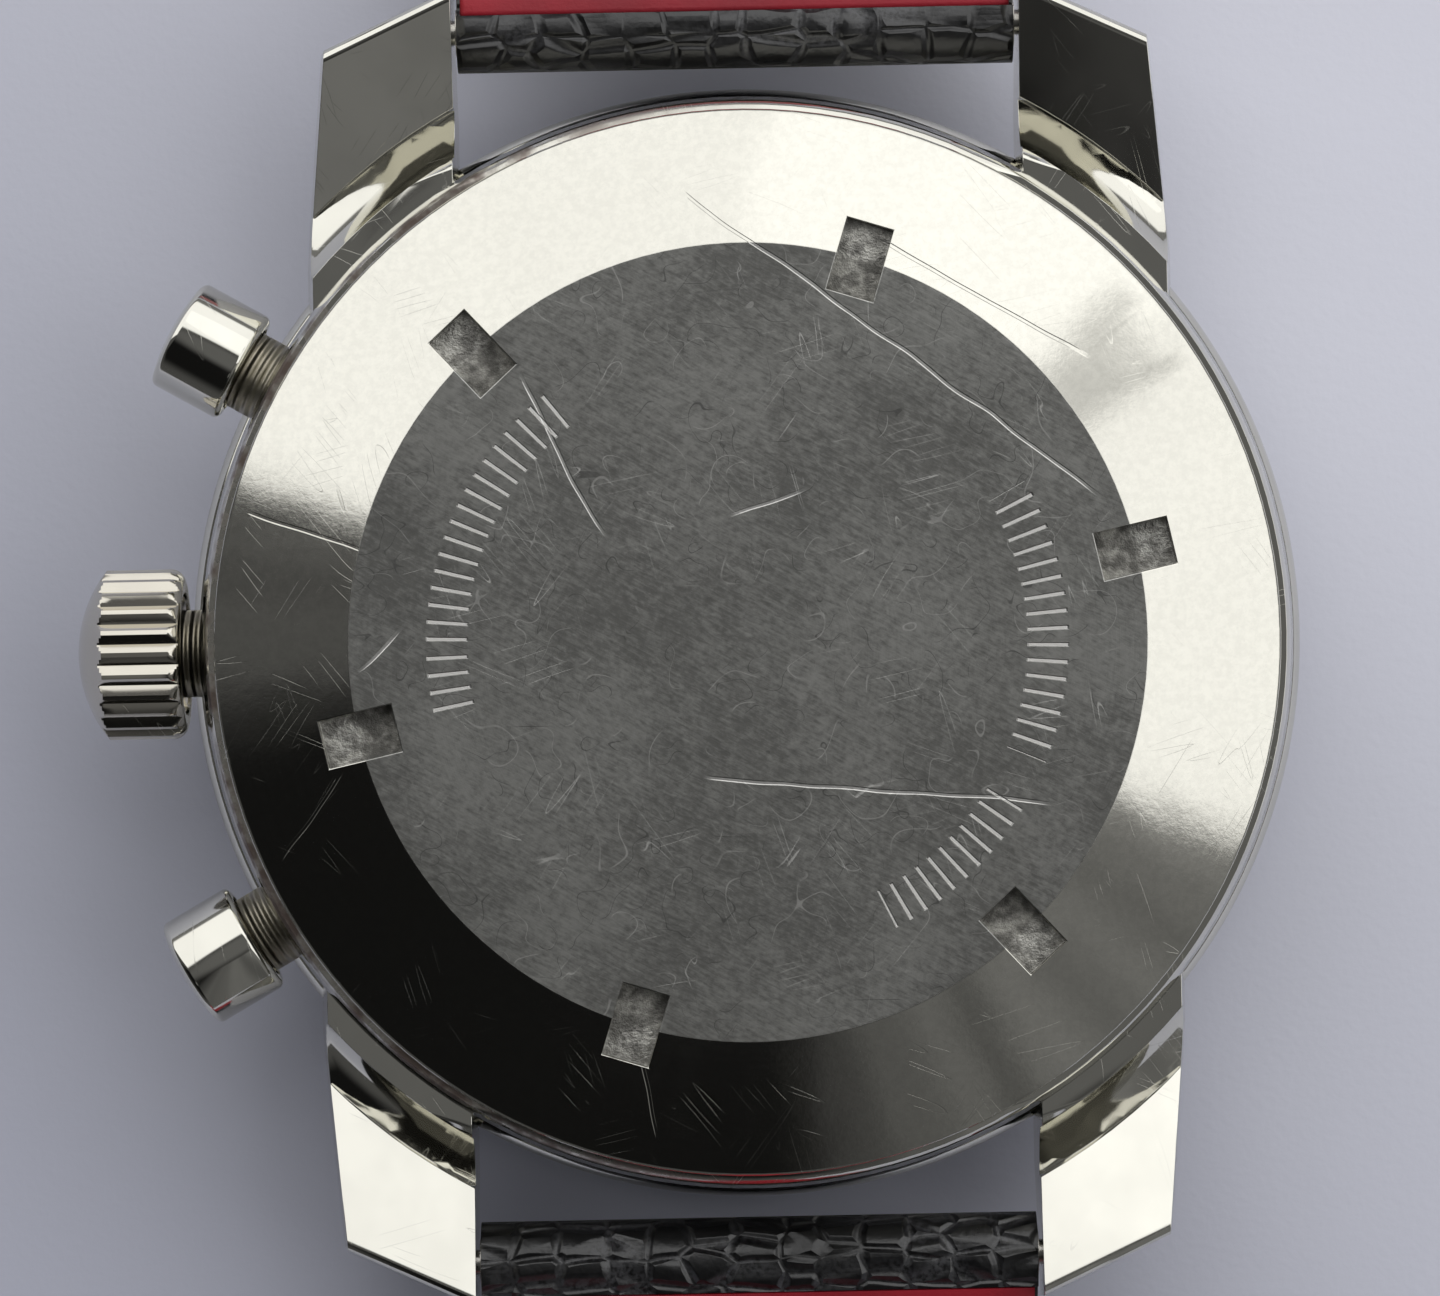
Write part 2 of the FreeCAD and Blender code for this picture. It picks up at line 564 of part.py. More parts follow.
def cocks():
    foot, x, y = COCK_SCREW, *BALANCE
    arm = extruded("cock_arm", bar_face((*foot, 1.25), (1.4, -9.4, 0.9), (x, y, 1.0)), 8.25, 0.5)
    keep("balance_cock", cut("balance_cock", fuse("cock_solid", arm, pillar("cock_foot", foot, 8.4, 1.0)),
                             hole("cock_pivot", BALANCE), hole("cock_screw", foot, 0.37)))
    pallet = bar_face((*PALLET, 0.55), (8.3, -7.6, 0.75))
    keep("pallet_cock", cut("pallet_cock", fuse(
        "pallet_cock_solid", extruded("pallet_cock_arm", pallet, 6.8, 0.3),
        cylinder("pallet_cock_foot", 0.7, 1.3, 8.3, -7.6, 5.6)), hole("pallet_cock_pivot", PALLET)))
    low, high = BRIDGE_POSTS
    bars = bar_face((*low, 0.8), (*CENTRE, 0.9), (*high, 0.8))
    bars = bars.fuse(bar_face((*CENTRE, 0.8), (*INTERMEDIATE, 0.7), (*RECORDER, 0.8))).removeSplitter()
    posts = [cylinder(f"chrono_post_{k}", 0.6, 10.1 - 8.4, *at, 8.4) for k, at in enumerate(BRIDGE_POSTS)]
    keep("chronograph_bridge", cut(
        "chronograph_bridge", fuse("chrono_bridge_solid", extruded("chrono_bridge_bars", bars, 9.98, 0.45), *posts),
        hole("chrono_bridge_runner", CENTRE, 0.18), hole("chrono_bridge_recorder", RECORDER),
        hole("chrono_bridge_intermediate", INTERMEDIATE)))


def screws():
    made = []
    for k, (x, y) in enumerate(SCREWS + (COCK_SCREW,)):
        z = 8.4 if k < 4 else 8.75
        head = cut(f"screw_head_{k}", cylinder(f"screw_blank_{k}", 0.72, 0.32, x, y, z),
                   box(f"screw_slot_{k}", 1.6, 0.2, 1, x, y, z + 0.18))
        made.append(fuse(f"screw_{k}", head, cylinder(f"screw_shank_{k}", 0.35, z + 0.1 - 4.95, x, y, 4.95)))
    group = DOC.addObject("Part::Compound", "bridge_screws")
    group.Links = made
    keep("bridge_screws", group)


def train():
    centre = 0.0
    barrel = mate(centre, 12, 72, *BARREL)
    third = mate(0.3, 64, 8, *THIRD)
    fourth = mate(0.1, 60, 8, FOURTH[0] - THIRD[0], FOURTH[1] - THIRD[1])
    escape = mate(0.2, 70, 7, ESCAPE[0] - FOURTH[0], ESCAPE[1] - FOURTH[1])
    cup = cut("barrel_cup", cylinder("barrel_drum", 5.2, 1.3, *BARREL, 5.7),
              cylinder("barrel_hollow", 4.8, 1.3, *BARREL, 5.85), hole("barrel_floor_bore", BARREL, 0.54))
    teeth = extruded("barrel_teeth", tooth_face(72, 0.16, barrel, bore=0.54), 6.9, 0.4, *BARREL)
    keep("barrel", fuse("barrel", cup, teeth))
    keep("mainspring", extruded("mainspring", spiral_face(1.0, 4.7, 7, 0.16), 5.95, 0.85, *BARREL))
    keep("barrel_arbor", cylinder("barrel_arbor", 0.5, 8.95 - 4.7, *BARREL, 4.7))
    wheel("centre_wheel", *CENTRE, [(12, 0.16, centre, 6.85, 0.5, True, 0), (64, 0.13, 0.3, 7.42, 0.16, False, 5)],
          [(0.36, 3.0, 8.3)], bore=0.19)
    wheel("third_wheel", *THIRD, [(8, 0.13, third, 7.3, 0.36, True, 0), (60, 0.11, 0.1, 6.28, 0.16, False, 5)],
          [(0.2, 5.65, 7.66), (0.1, 5.0, 8.2)])
    wheel("fourth_wheel", *FOURTH,
          [(8, 0.11, fourth, 6.2, 0.34, True, 0), (70, 0.095, 0.2, 6.98, 0.16, False, 5),
           (48, 0.1, 0.0, 9.6, 0.15, False, 4)], [(0.18, 2.95, 9.9)])
    wheel("escape_pinion", *ESCAPE, [(7, 0.095, escape, 6.9, 0.4, True, 0)], [(0.18, 5.65, 7.6), (0.1, 5.0, 8.2)])
    points = []
    for k in range(15):
        for radius, ahead in ((1.75, 0.04), (2.2, 0.16), (2.2, 0.19), (1.75, 0.26)):
            turn = 2 * math.pi * k / 15 + ahead
            points.append(VECTOR(radius * math.cos(turn), radius * math.sin(turn), 0))
    holes = [window(0.5, 1.45, 2 * math.pi * k / 4, math.pi / 2, 0.25) for k in range(4)]
    face = Part.makeFace([Part.makePolygon(points + points[:1])] + holes, "Part::FaceMakerCheese")
    flat = extruded("escape_teeth", face, 6.55, 0.12, *ESCAPE)
    keep("escape_wheel", fuse("escape_wheel", NODES.pop("escape_pinion"), flat))


def spiral_face(inner, outer, turns, width):
    """A flat coil of even pitch."""
    count = turns * 24
    inside, outside = [], []
    for k in range(count + 1):
        turn = 2 * math.pi * turns * k / count
        radius = inner + (outer - inner) * k / count
        way = VECTOR(math.cos(turn), math.sin(turn), 0)
        inside.append(way * (radius - width / 2))
        outside.append(way * (radius + width / 2))
    loop = outside + inside[::-1]
    return Part.Face(Part.makePolygon(loop + loop[:1]))


def escapement():
    to_balance = math.atan2(BALANCE[1] - PALLET[1], BALANCE[0] - PALLET[0])
    px, py = PALLET
    reach = 3.7
    tip = (px + reach * math.cos(to_balance), py + reach * math.sin(to_balance))
    side = VECTOR(-math.sin(to_balance), math.cos(to_balance), 0)
    back = VECTOR(-math.cos(to_balance), -math.sin(to_balance), 0)
    arms = [VECTOR(px, py, 0) + side * (sign * 1.55) + back * 0.25 for sign in (1, -1)]
    face = bar_face((arms[0].x, arms[0].y, 0.16), (px, py, 0.35), (arms[1].x, arms[1].y, 0.16))
    face = face.fuse(bar_face((px, py, 0.3), (*tip, 0.15))).removeSplitter()
    for sign in (1, -1):
        horn = (tip[0] - back.x * 0.5 + side.x * sign * 0.33, tip[1] - back.y * 0.5 + side.y * sign * 0.33)
        face = face.fuse(bar_face((*tip, 0.12), (*horn, 0.09))).removeSplitter()
    keep("pallet_fork", fuse("pallet_fork", extruded("fork_flat", face, 6.5, 0.18, 0, 0),
                             cylinder("fork_arbor", 0.1, 7.0 - 5.0, px, py, 5.0)))
    rim = ring("balance_rim", S.balance_radius, S.balance_radius - 0.45, 7.25, 0.4, *BALANCE)
    arms = box("balance_arm", 2 * (S.balance_radius - 0.2), 0.4, 0.2, *BALANCE, 7.35)
    roller = cylinder("roller", 0.7, 0.15, *BALANCE, 6.85)
    jewel = cylinder("impulse_jewel", 0.12, 0.14, BALANCE[0] + 0.5, BALANCE[1], 6.72)
    staff = cylinder("balance_staff", 0.2, 8.2 - 5.65, *BALANCE, 5.65)
    pivots = cylinder("balance_pivots", 0.1, 8.7 - 5.0, *BALANCE, 5.0)
    screws_round = []
    for k in range(12):
        turn = math.radians(15 + 30 * k)
        screws_round.append(cylinder(
            f"balance_screw_{k}", 0.12, 0.3, BALANCE[0] + 4.1 * math.cos(turn), BALANCE[1] + 4.1 * math.sin(turn),
            7.45, towards(math.degrees(turn))))
    keep("balance_wheel", fuse("balance_wheel", rim, arms, roller, jewel, staff, pivots, *screws_round))
    keep("hairspring", extruded("hairspring", spiral_face(0.24, 2.3, 9, 0.08), 7.85, 0.15, *BALANCE))


def motion_work():
    wheel("cannon_pinion", *CENTRE, [(12, 0.125, 0.0, 4.08, 0.34, True, 0)], [(0.55, 2.6, 4.42)], bore=0.37)
    pinion = mate(0.0, 12, 36, *MINUTE_WHEEL)
    hour = mate(0.2, 10, 40, 0.0, 3.0)
    wheel("minute_wheel", *MINUTE_WHEEL,
          [(36, 0.125, pinion, 4.12, 0.26, False, 0), (10, 0.12, 0.2, 3.88, 0.26, True, 0)],
          [(0.4, 3.88, 4.38)], bore=0.23)
    wheel("hour_wheel", *CENTRE, [(40, 0.12, hour, 3.87, 0.18, False, 0)], [(0.85, 3.0, 4.05)], bore=0.59)


def winding():
    stem = towards(180)
    points = []
    for k in range(12):
        for radius, ahead in ((0.85, -0.17), (1.1, -0.09), (1.1, 0.09), (0.85, 0.17)):
            turn = math.pi * k / 6 + ahead
            points.append(VECTOR(radius * math.cos(turn), radius * math.sin(turn), 0))
    face = Part.makeFace([Part.makePolygon(points + points[:1]), Part.Wire(Part.makeCircle(0.53))],
                         "Part::FaceMakerCheese")
    pinion = extruded("winding_pinion", face, 0, 1.2)
    place(pinion, -11.2, 0, S.stem_height, stem)
    keep("winding_pinion", pinion)
    crown_phase = 0.0
    gear = extruded("crown_wheel_teeth", tooth_face(27, 0.2, crown_phase, bore=0.39), 8.45, 0.33, *CROWN_WHEEL)
    keep("crown_wheel", fuse("crown_wheel", gear, ring("contrate_ring", 2.6, 2.1, 8.1, 0.36, *CROWN_WHEEL)))
    ratchet = mate(crown_phase, 27, 57, BARREL[0] - CROWN_WHEEL[0], BARREL[1] - CROWN_WHEEL[1])
    keep("ratchet_wheel", extruded("ratchet_wheel", tooth_face(57, 0.2, ratchet, bore=0.5), 8.45, 0.35, *BARREL))
    pawl = bar_face((*CLICK, 0.5), (-0.97, 11.84, 0.12))
    keep("click", cut("click", extruded("click_flat", pawl, 8.45, 0.33), hole("click_bore", CLICK, 0.23)))


def heart(x, y, z, turn):
    """A heart-piece: its flat side, reached at the zero of its hand, faces the hammer."""
    points = []
    for k in range(48):
        angle = -math.pi + 2 * math.pi * (k + 0.5) / 48
        radius = 0.45 + 0.75 * abs(angle) / math.pi
        points.append(VECTOR(radius * math.cos(angle + turn), radius * math.sin(angle + turn), 0))
    face = Part.Face(Part.makePolygon(points + points[:1]))
    return extruded(f"heart_{num(x):.0f}".replace("-", "n"), face, z, 0.3, x, y)


def stopwatch_work():
    runner = wheel("runner_wheel", *CENTRE, [(48, 0.1, 0.0, 9.6, 0.15, False, 4)], [(0.15, 2.2, 10.35)])
    finger = extruded("runner_finger", bar_face((0, 0, 0.4), (3.0, 0, 0.1)), 9.77, 0.12)
    NODES.pop("runner_wheel")
    keep("chrono_runner", fuse("chrono_runner", runner, finger, heart(*CENTRE, 9.1, math.pi)))
    recorder = wheel("recorder_wheel", *RECORDER, [(48, 0.1, 0.0, 9.6, 0.15, False, 4)],
                     [(0.18, 2.95, 9.9), (0.1, 9.8, 10.35)])
    NODES.pop("recorder_wheel")
    keep("minute_recorder", fuse("minute_recorder", recorder, heart(*RECORDER, 9.1, math.pi)))
    wheel("intermediate_wheel", *INTERMEDIATE, [(28, 0.1, 0.05, 9.6, 0.3, False, 0)],
          [(0.25, 9.5, 9.95), (0.1, 9.8, 10.35)])
    kx, ky = COUPLING
    arm = bar_face((kx, ky, 0.45), (*FOURTH, 0.8), (6.2, 6.6, 0.3))
    stud = cylinder("coupling_stud", 0.15, 9.85 - 9.3, kx, ky, 9.3)
    keep("coupling_lever", fuse("coupling_lever", cut(
        "coupling_lever_flat", extruded("coupling_lever_arm", arm, 9.1, 0.3),
        hole("coupling_bore", FOURTH, 0.3)), stud))
    keep("coupling_wheel", extruded("coupling_wheel", tooth_face(30, 0.1, 0.05, bore=0.19), 9.6, 0.15, kx, ky))
    lobes = bar_face((CAM[0] - 0.9, CAM[1] - 0.5, 0.25), (*CAM, 0.8), (CAM[0] + 0.9, CAM[1] - 0.6, 0.25))
    keep("chrono_cam", cut("chrono_cam", extruded("cam_flat", lobes, 9.1, 0.4), hole("cam_bore", CAM, 0.34)))
    arm = bar_face((*FINGER, 0.4), (*OPERATING, 0.8), (1.8, 10.2, 0.3))
    lever = fuse("operating_solid", extruded("operating_arm", arm, 9.1, 0.35),
                 cylinder("operating_finger", 0.36, 2.1, *FINGER, 7.2))
    keep("operating_lever", cut("operating_lever", lever, hole("operating_bore", OPERATING, 0.34)))
    arm = bar_face((FINGER[0], -FINGER[1], 0.4), (*HAMMER, 0.9), (-3.2, -2.6, 0.4), (-2.6, 0.0, 0.35))
    arm = arm.fuse(bar_face((*HAMMER, 0.9), (-10.4, -3.0, 0.4), (-10.1, 0.0, 0.35))).removeSplitter()
    lever = fuse("hammer_solid", extruded("hammer_arm", arm, 9.1, 0.35),
                 cylinder("hammer_finger", 0.36, 2.1, FINGER[0], -FINGER[1], 7.2))
    keep("hammer", cut("hammer", lever, hole("hammer_bore", HAMMER, 0.34)))


def dial_side():
    face = cylinder("dial_blank", S.dial_radius, S.dial_back - S.dial_face, z=S.dial_face)
    holes = [cylinder("dial_centre", 1.0, 10), cylinder("dial_seconds", 0.4, 10, S.counter_reach),
             cylinder("dial_recorder", 0.4, 10, -S.counter_reach)]
    for k, sign in enumerate((1, -1)):
        holes.append(cylinder(
            f"dial_counter_{k}", S.counter_radius, 0.12, sign * S.counter_reach, 0, S.dial_face - 0.01))
    keep("dial", cut("dial", face, *holes))
    hand("hour_hand", CENTRE, 3.02, 0.15, 0.8, 0.86, 7.6, 305, 0.5)
    hand("minute_hand", CENTRE, 2.65, 0.15, 0.6, 0.56, 11.4, 60, 0.4)
    hand("sweep_hand", CENTRE, 2.27, 0.12, 0.55, 0.15, 13.0, 90, 0.12, tail=3.6)
    hand("small_seconds_hand", FOURTH, 2.98, 0.12, 0.3, 0.18, 2.5, 205, 0.1, tail=0.9)
    hand("minute_counter_hand", RECORDER, 2.98, 0.12, 0.3, 0.18, 2.4, 90, 0.1, tail=0.8)


def hand(name, at, z, thickness, hub, bore, length, angle, half_width, tail=0.0):
    """A flat hand pressed on its arbor, pointing at an angle seen from the back."""
    turn = math.radians(angle)
    x, y = at
    tip = (x + length * math.cos(turn), y + length * math.sin(turn), 0.06)
    middle = (x + 0.55 * length * math.cos(turn), y + 0.55 * length * math.sin(turn), half_width)
    face = bar_face((x, y, hub), middle, tip)
    if tail:
        end = (x - tail * math.cos(turn), y - tail * math.sin(turn), 2.0 * half_width)
        face = face.fuse(bar_face((x, y, hub), end)).removeSplitter()
    keep(name, cut(name, extruded(f"{name}_flat", face, z, thickness), hole(f"{name}_bore", at, bore, 1.5, 4)))


# ---------------------------------------------------------------- strap

def course(start, heading, steps, offset):
    """The edges of a strap's run in side view, at an offset above its middle line.

    Each step is a length, or a radius and the degrees it turns upwards.
    """
    def raised(point, angle):
        return VECTOR(0, point.y - offset * math.sin(angle), point.z + offset * math.cos(angle))

    edges, point, angle = [], VECTOR(0, *start), math.radians(heading)
    for step in steps:
        if isinstance(step, tuple):
            radius, bend = step[0], math.radians(step[1])
            middle = point + VECTOR(0, -math.sin(angle), math.cos(angle)) * radius
            at = [raised(middle + VECTOR(0, math.sin(a), -math.cos(a)) * radius, a)
                  for a in (angle, angle + bend / 2, angle + bend)]
            edges.append(Part.Arc(*at).toShape())
            angle += bend
            point = middle + VECTOR(0, math.sin(angle), -math.cos(angle)) * radius
        else:
            end = point + VECTOR(0, math.cos(angle), math.sin(angle)) * step
            edges.append(Part.LineSegment(raised(point, angle), raised(end, angle)).toShape())
            point = end
    return edges, point, angle


def band(label, start, heading, steps, low, high, width):
    """A strip between two offsets of the same run, extruded across the strap."""
    under, tip, angle = course(start, heading, steps, low)
    over, tip, angle = course(start, heading, steps, high)
    first, last = under[0].Vertexes[0].Point, over[0].Vertexes[0].Point
    end_low, end_high = under[-1].Vertexes[-1].Point, over[-1].Vertexes[-1].Point
    caps = [Part.LineSegment(first, last).toShape(), Part.LineSegment(end_low, end_high).toShape()]
    outline_wire = Part.Wire(Part.__sortEdges__(under + over + caps))
    flat = DOC.addObject("Part::Feature", f"{label}_side")
    flat.Shape = Part.Face(outline_wire)
    made = DOC.addObject("Part::Extrusion", label)
    made.Base = flat
    made.DirMode, made.Dir, made.Solid = "Custom", VECTOR(1, 0, 0), True
    place(bind(made, LengthFwd=width), x=-num(width) / 2)
    return made, tip, angle


def plan(label, points):
    """The strap's outline from above, given for its right edge and mirrored."""
    both = points + [(-x, y) for x, y in reversed(points)]
    return padded(label, both, 140, height=-20)


def ramp_radius(level):
    drop = S.bar_height - S.ramp_length * sine(S.ramp_angle) - level
    return drop / (1 - cosine(S.ramp_angle))


def strap_half(name, steps, level, edge):
    """Leather with a loop for the spring bar, and the lining inside it; both run towards +Y."""
    start, heading = (num(S.bar_reach), num(S.bar_height)), -num(S.ramp_angle)
    steps = [num(S.ramp_length), (num(ramp_radius(level)), num(S.ramp_angle))] + steps
    half, skin = num(S.strap_thickness) / 2, num(S.lining_thickness)
    leather = band(f"{name}_leather", start, heading, steps, -half, half - skin, num(S.strap_width))[0]
    lining = band(f"{name}_inner", start, heading, steps, half - skin, half, num(S.strap_width))[0]
    across = FreeCAD.Rotation(VECTOR(0, 1, 0), 90)
    loop = cylinder(f"{name}_loop", S.loop_radius, S.strap_width,
                    -S.strap_width / 2, S.bar_reach, S.bar_height, across)
    turn_in = band(f"{name}_turn_in", start, heading, [num(S.turn_in)], half - skin, half, num(S.strap_width))[0]
    bore = cylinder(f"{name}_bore", S.bar_radius + 0.05, 30, -15, S.bar_reach, S.bar_height, across)
    shape = plan(f"{name}_plan", edge)
    solid = fuse(f"{name}_solid", leather, loop, turn_in)
    back = cylinder(f"{name}_keep_out", S.loop_radius, 30, -15, S.bar_reach, S.bar_height, across)
    cover = band(f"{name}_cover", start, heading, [num(S.turn_in)], -2, 2, 30)[0]
    inner = cut(f"{name}_lining_cut", lining, back, cover)
    return common(f"{name}_outer_plan", solid, shape), common(f"{name}_inner_plan", inner, shape), bore


def mirrored(name, source):
    other = DOC.addObject("Part::Mirroring", name)
    other.Source = source
    other.Normal = VECTOR(0, 1, 0)
    return other


def strap():
    wide, slim = num(S.strap_width) / 2, num(S.strap_end_width) / 2
    level = num(S.buckle_level)
    end_y = (num(S.bar_reach) + num(S.ramp_length * cosine(S.ramp_angle))
             + num(ramp_radius(level) * sine(S.ramp_angle)) + num(S.buckle_flat))
    across = FreeCAD.Rotation(VECTOR(0, 1, 0), 90)
    edge = [(wide, 17), (wide, 26), (slim + 0.3, 70), (slim, end_y - 10), (slim, end_y + 3)]
    leather, lining, bore = strap_half("buckle_half", [num(S.buckle_flat)], level, edge)
    bar_hole = cylinder("buckle_bar_bore", 0.68, 30, -15, end_y, level, across)
    end_loop = common("buckle_loop_plan", cylinder(
        "buckle_loop", S.loop_radius, 30, -15, end_y, level, across), plan("buckle_loop_edge", edge))
    tongue_slot = box("tongue_slot", 2.7, 6.4, 8, 0, end_y + 0.4, 0)
    keep("strap_buckle_half", cut("strap_buckle_half", fuse("buckle_leather", leather, end_loop),
                                  bore, bar_hole, tongue_slot))
    keep("lining_buckle_half", cut("lining_buckle_half", lining, bar_hole, tongue_slot,
                                   box("buckle_loop_room", 30, 8, 8, 0, end_y + 1.5, 0)))
    for name, y in (("fixed_keeper", end_y - 8), ("free_keeper", end_y - 17)):
        outer = box(f"{name}_outer", 18.5, 4.0, 4.9, 0, y, 0.25)
        inner = box(f"{name}_inner", 16.9, 6, 3.2, 0, y, 1.15)
        keep(name, cut(name, outer, inner))
    keep("buckle_bar", cylinder("buckle_bar", 0.6, 20.6, -10.3, end_y, level, across))
    frame = box("buckle_blank", 20.8, 14.2, 2.2, 0, end_y + 5.3, level - 1.1)
    window_box = box("buckle_window", 16.5, 13.1, 4, 0, end_y + 2.6, level - 2)
    seat = cylinder("buckle_bar_seat", 0.6, 20.6, -10.3, end_y, level, across)
    keep("buckle_frame", cut("buckle_frame", frame, window_box, seat))
    eye = ring("tongue_eye", 1.15, 0.64, 0, 2.0)
    eye_turned = place(eye, -1.0, end_y, level, across)
    rod = box("tongue_rod", 1.3, 11.2, 0.75, 0, end_y + 6.4, level - 1.9)
    neck = box("tongue_neck", 1.6, 1.3, 1.0, 0, end_y + 1.35, level - 1.75)
    keep("buckle_tongue", cut("buckle_tongue", fuse("tongue_solid", eye_turned, rod, neck),
                              cylinder("tongue_bore", 0.64, 4, -2, end_y, level, across)))

    level = num(S.tail_level)
    steps = [num(S.tail_flat), (num(S.curl_radius), num(S.curl_angle))]
    start, heading = (num(S.bar_reach), num(S.bar_height)), -num(S.ramp_angle)
    whole = [num(S.ramp_length), (num(ramp_radius(level)), num(S.ramp_angle))] + steps
    end = course(start, heading, whole, 0)[1].y
    edge = [(wide, 17), (wide, 26), (slim + 0.3, 66), (slim, end - 12), (slim - 0.7, end - 6),
            (slim - 3.2, end - 1.8), (1.4, end - 0.1)]
    leather, lining, bore = strap_half("tail_half", steps, level, edge)
    tools = [bore]
    for k in range(6):
        at = whole[:-1] + [(num(S.curl_radius), num(S.curl_angle) - num(S.hole_start) - num(S.hole_pitch) * k)]
        point, turn = course(start, heading, at, 0)[1:]
        tools.append(cylinder(
            f"tongue_hole_{k}", S.hole_radius, 6, 0, point.y + 3 * math.sin(turn), point.z - 3 * math.cos(turn),
            FreeCAD.Rotation(VECTOR(1, 0, 0), math.degrees(turn))))
    keep("strap_tail_half", mirrored("strap_tail_half", cut("tail_leather", leather, *tools)))
    keep("lining_tail_half", mirrored("lining_tail_half", cut("tail_lining", lining, *tools[1:])))


def spring_bars():
    across = FreeCAD.Rotation(VECTOR(0, 1, 0), 90)
    made = []
    for k, sign in enumerate((1, -1)):
        half = S.lug_gap / 2 - 0.1
        at = {"y": sign * S.bar_reach, "z": S.bar_height, "rotation": across}
        tube_part = cylinder(f"bar_tube_{k}", S.bar_radius, half * 2, x=-half, **at)
        reach = half + S.bar_tip
        pins = cylinder(f"bar_pins_{k}", S.bar_tip_radius, reach * 2, x=-reach, **at)
        made.append(fuse(f"spring_bar_{k}", tube_part, pins))
    group = DOC.addObject("Part::Compound", "spring_bars")
    group.Links = made
    keep("spring_bars", group)


def write_parts():
    DOC.recompute()
    failed = [(o.Name, o.getStatusString()) for o in DOC.Objects if {"Invalid", "Error"} & set(o.State)]
    if failed:
        raise SystemExit(f"failed objects: {failed}")
    for name, made in NODES.items():
        if made.Shape.isNull() or not made.Shape.isValid():
            raise SystemExit(f"{name} has a bad shape")
    os.makedirs("parts", exist_ok=True)
    for name, made in NODES.items():
        made.Shape.exportStep(f"parts/{name}.step")
        print(f"{name}: {len(made.Shape.Solids)} solids, {made.Shape.Volume:.3f} mm3")
    print(f"{len(NODES)} parts")


case_middle()
case_back()
front()
crown()
pushers()
tubes()
spring_bars()
plates()
barrel_bridge()
train_bridge()
cocks()
screws()
train()
escapement()
motion_work()
winding()
stopwatch_work()
dial_side()
strap()
write_parts()
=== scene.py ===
import bmesh
import bpy
import json
import math
from mathutils import Matrix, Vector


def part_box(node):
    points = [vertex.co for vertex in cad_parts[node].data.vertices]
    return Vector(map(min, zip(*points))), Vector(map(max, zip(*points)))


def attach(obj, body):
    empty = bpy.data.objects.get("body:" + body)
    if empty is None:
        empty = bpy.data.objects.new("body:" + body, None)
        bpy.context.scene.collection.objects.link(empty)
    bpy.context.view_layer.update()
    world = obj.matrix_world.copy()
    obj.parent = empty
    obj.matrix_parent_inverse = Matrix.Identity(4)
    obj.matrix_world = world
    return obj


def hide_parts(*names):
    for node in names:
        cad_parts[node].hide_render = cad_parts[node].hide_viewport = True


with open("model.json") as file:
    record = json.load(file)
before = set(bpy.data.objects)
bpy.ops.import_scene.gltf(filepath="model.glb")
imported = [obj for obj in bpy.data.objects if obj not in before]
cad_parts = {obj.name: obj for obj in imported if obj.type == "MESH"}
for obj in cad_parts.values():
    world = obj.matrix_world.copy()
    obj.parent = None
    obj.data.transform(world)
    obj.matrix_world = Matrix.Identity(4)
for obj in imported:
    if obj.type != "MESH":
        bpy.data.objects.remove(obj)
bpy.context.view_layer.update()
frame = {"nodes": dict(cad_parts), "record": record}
nodes = frame["nodes"]
mm = 0.001


def clearSelection():
    if bpy.context.object and bpy.context.object.mode != "OBJECT":
        bpy.ops.object.mode_set(mode="OBJECT")
    bpy.ops.object.select_all(action="DESELECT")


def only(piece):
    clearSelection()
    piece.select_set(True)
    bpy.context.view_layer.objects.active = piece
    return piece


def fixPlace(piece):  # the place goes into the mesh, and the object back to the origin
    only(piece)
    bpy.ops.object.transform_apply(location=True, rotation=True, scale=True)
    return piece


def modify(piece, kind, **settings):
    only(piece)
    modifier = piece.modifiers.new(kind.title(), kind)
    for name, value in settings.items():
        setattr(modifier, name, value)
    bpy.ops.object.modifier_apply(modifier=modifier.name)
    return piece


def smooth(piece, degrees=35):
    only(piece)
    bpy.ops.object.shade_smooth_by_angle(angle=math.radians(degrees))
    return piece


def join(pieces, name):
    clearSelection()
    for piece in pieces:
        piece.select_set(True)
    bpy.context.view_layer.objects.active = pieces[0]
    bpy.ops.object.join()
    pieces[0].name = name
    return pieces[0]


def copied(piece, matrix):
    twin = piece.copy()
    twin.data = piece.data.copy()
    bpy.context.scene.collection.objects.link(twin)
    twin.data.transform(matrix)
    return twin


def dress(piece, material):
    piece.data.materials.clear()
    piece.data.materials.append(material)
    return piece


def rounded(value, low, high):  # a smooth step from 0 to 1
    t = min(max((value - low) / (high - low), 0), 1)
    return t * t * (3 - 2 * t)


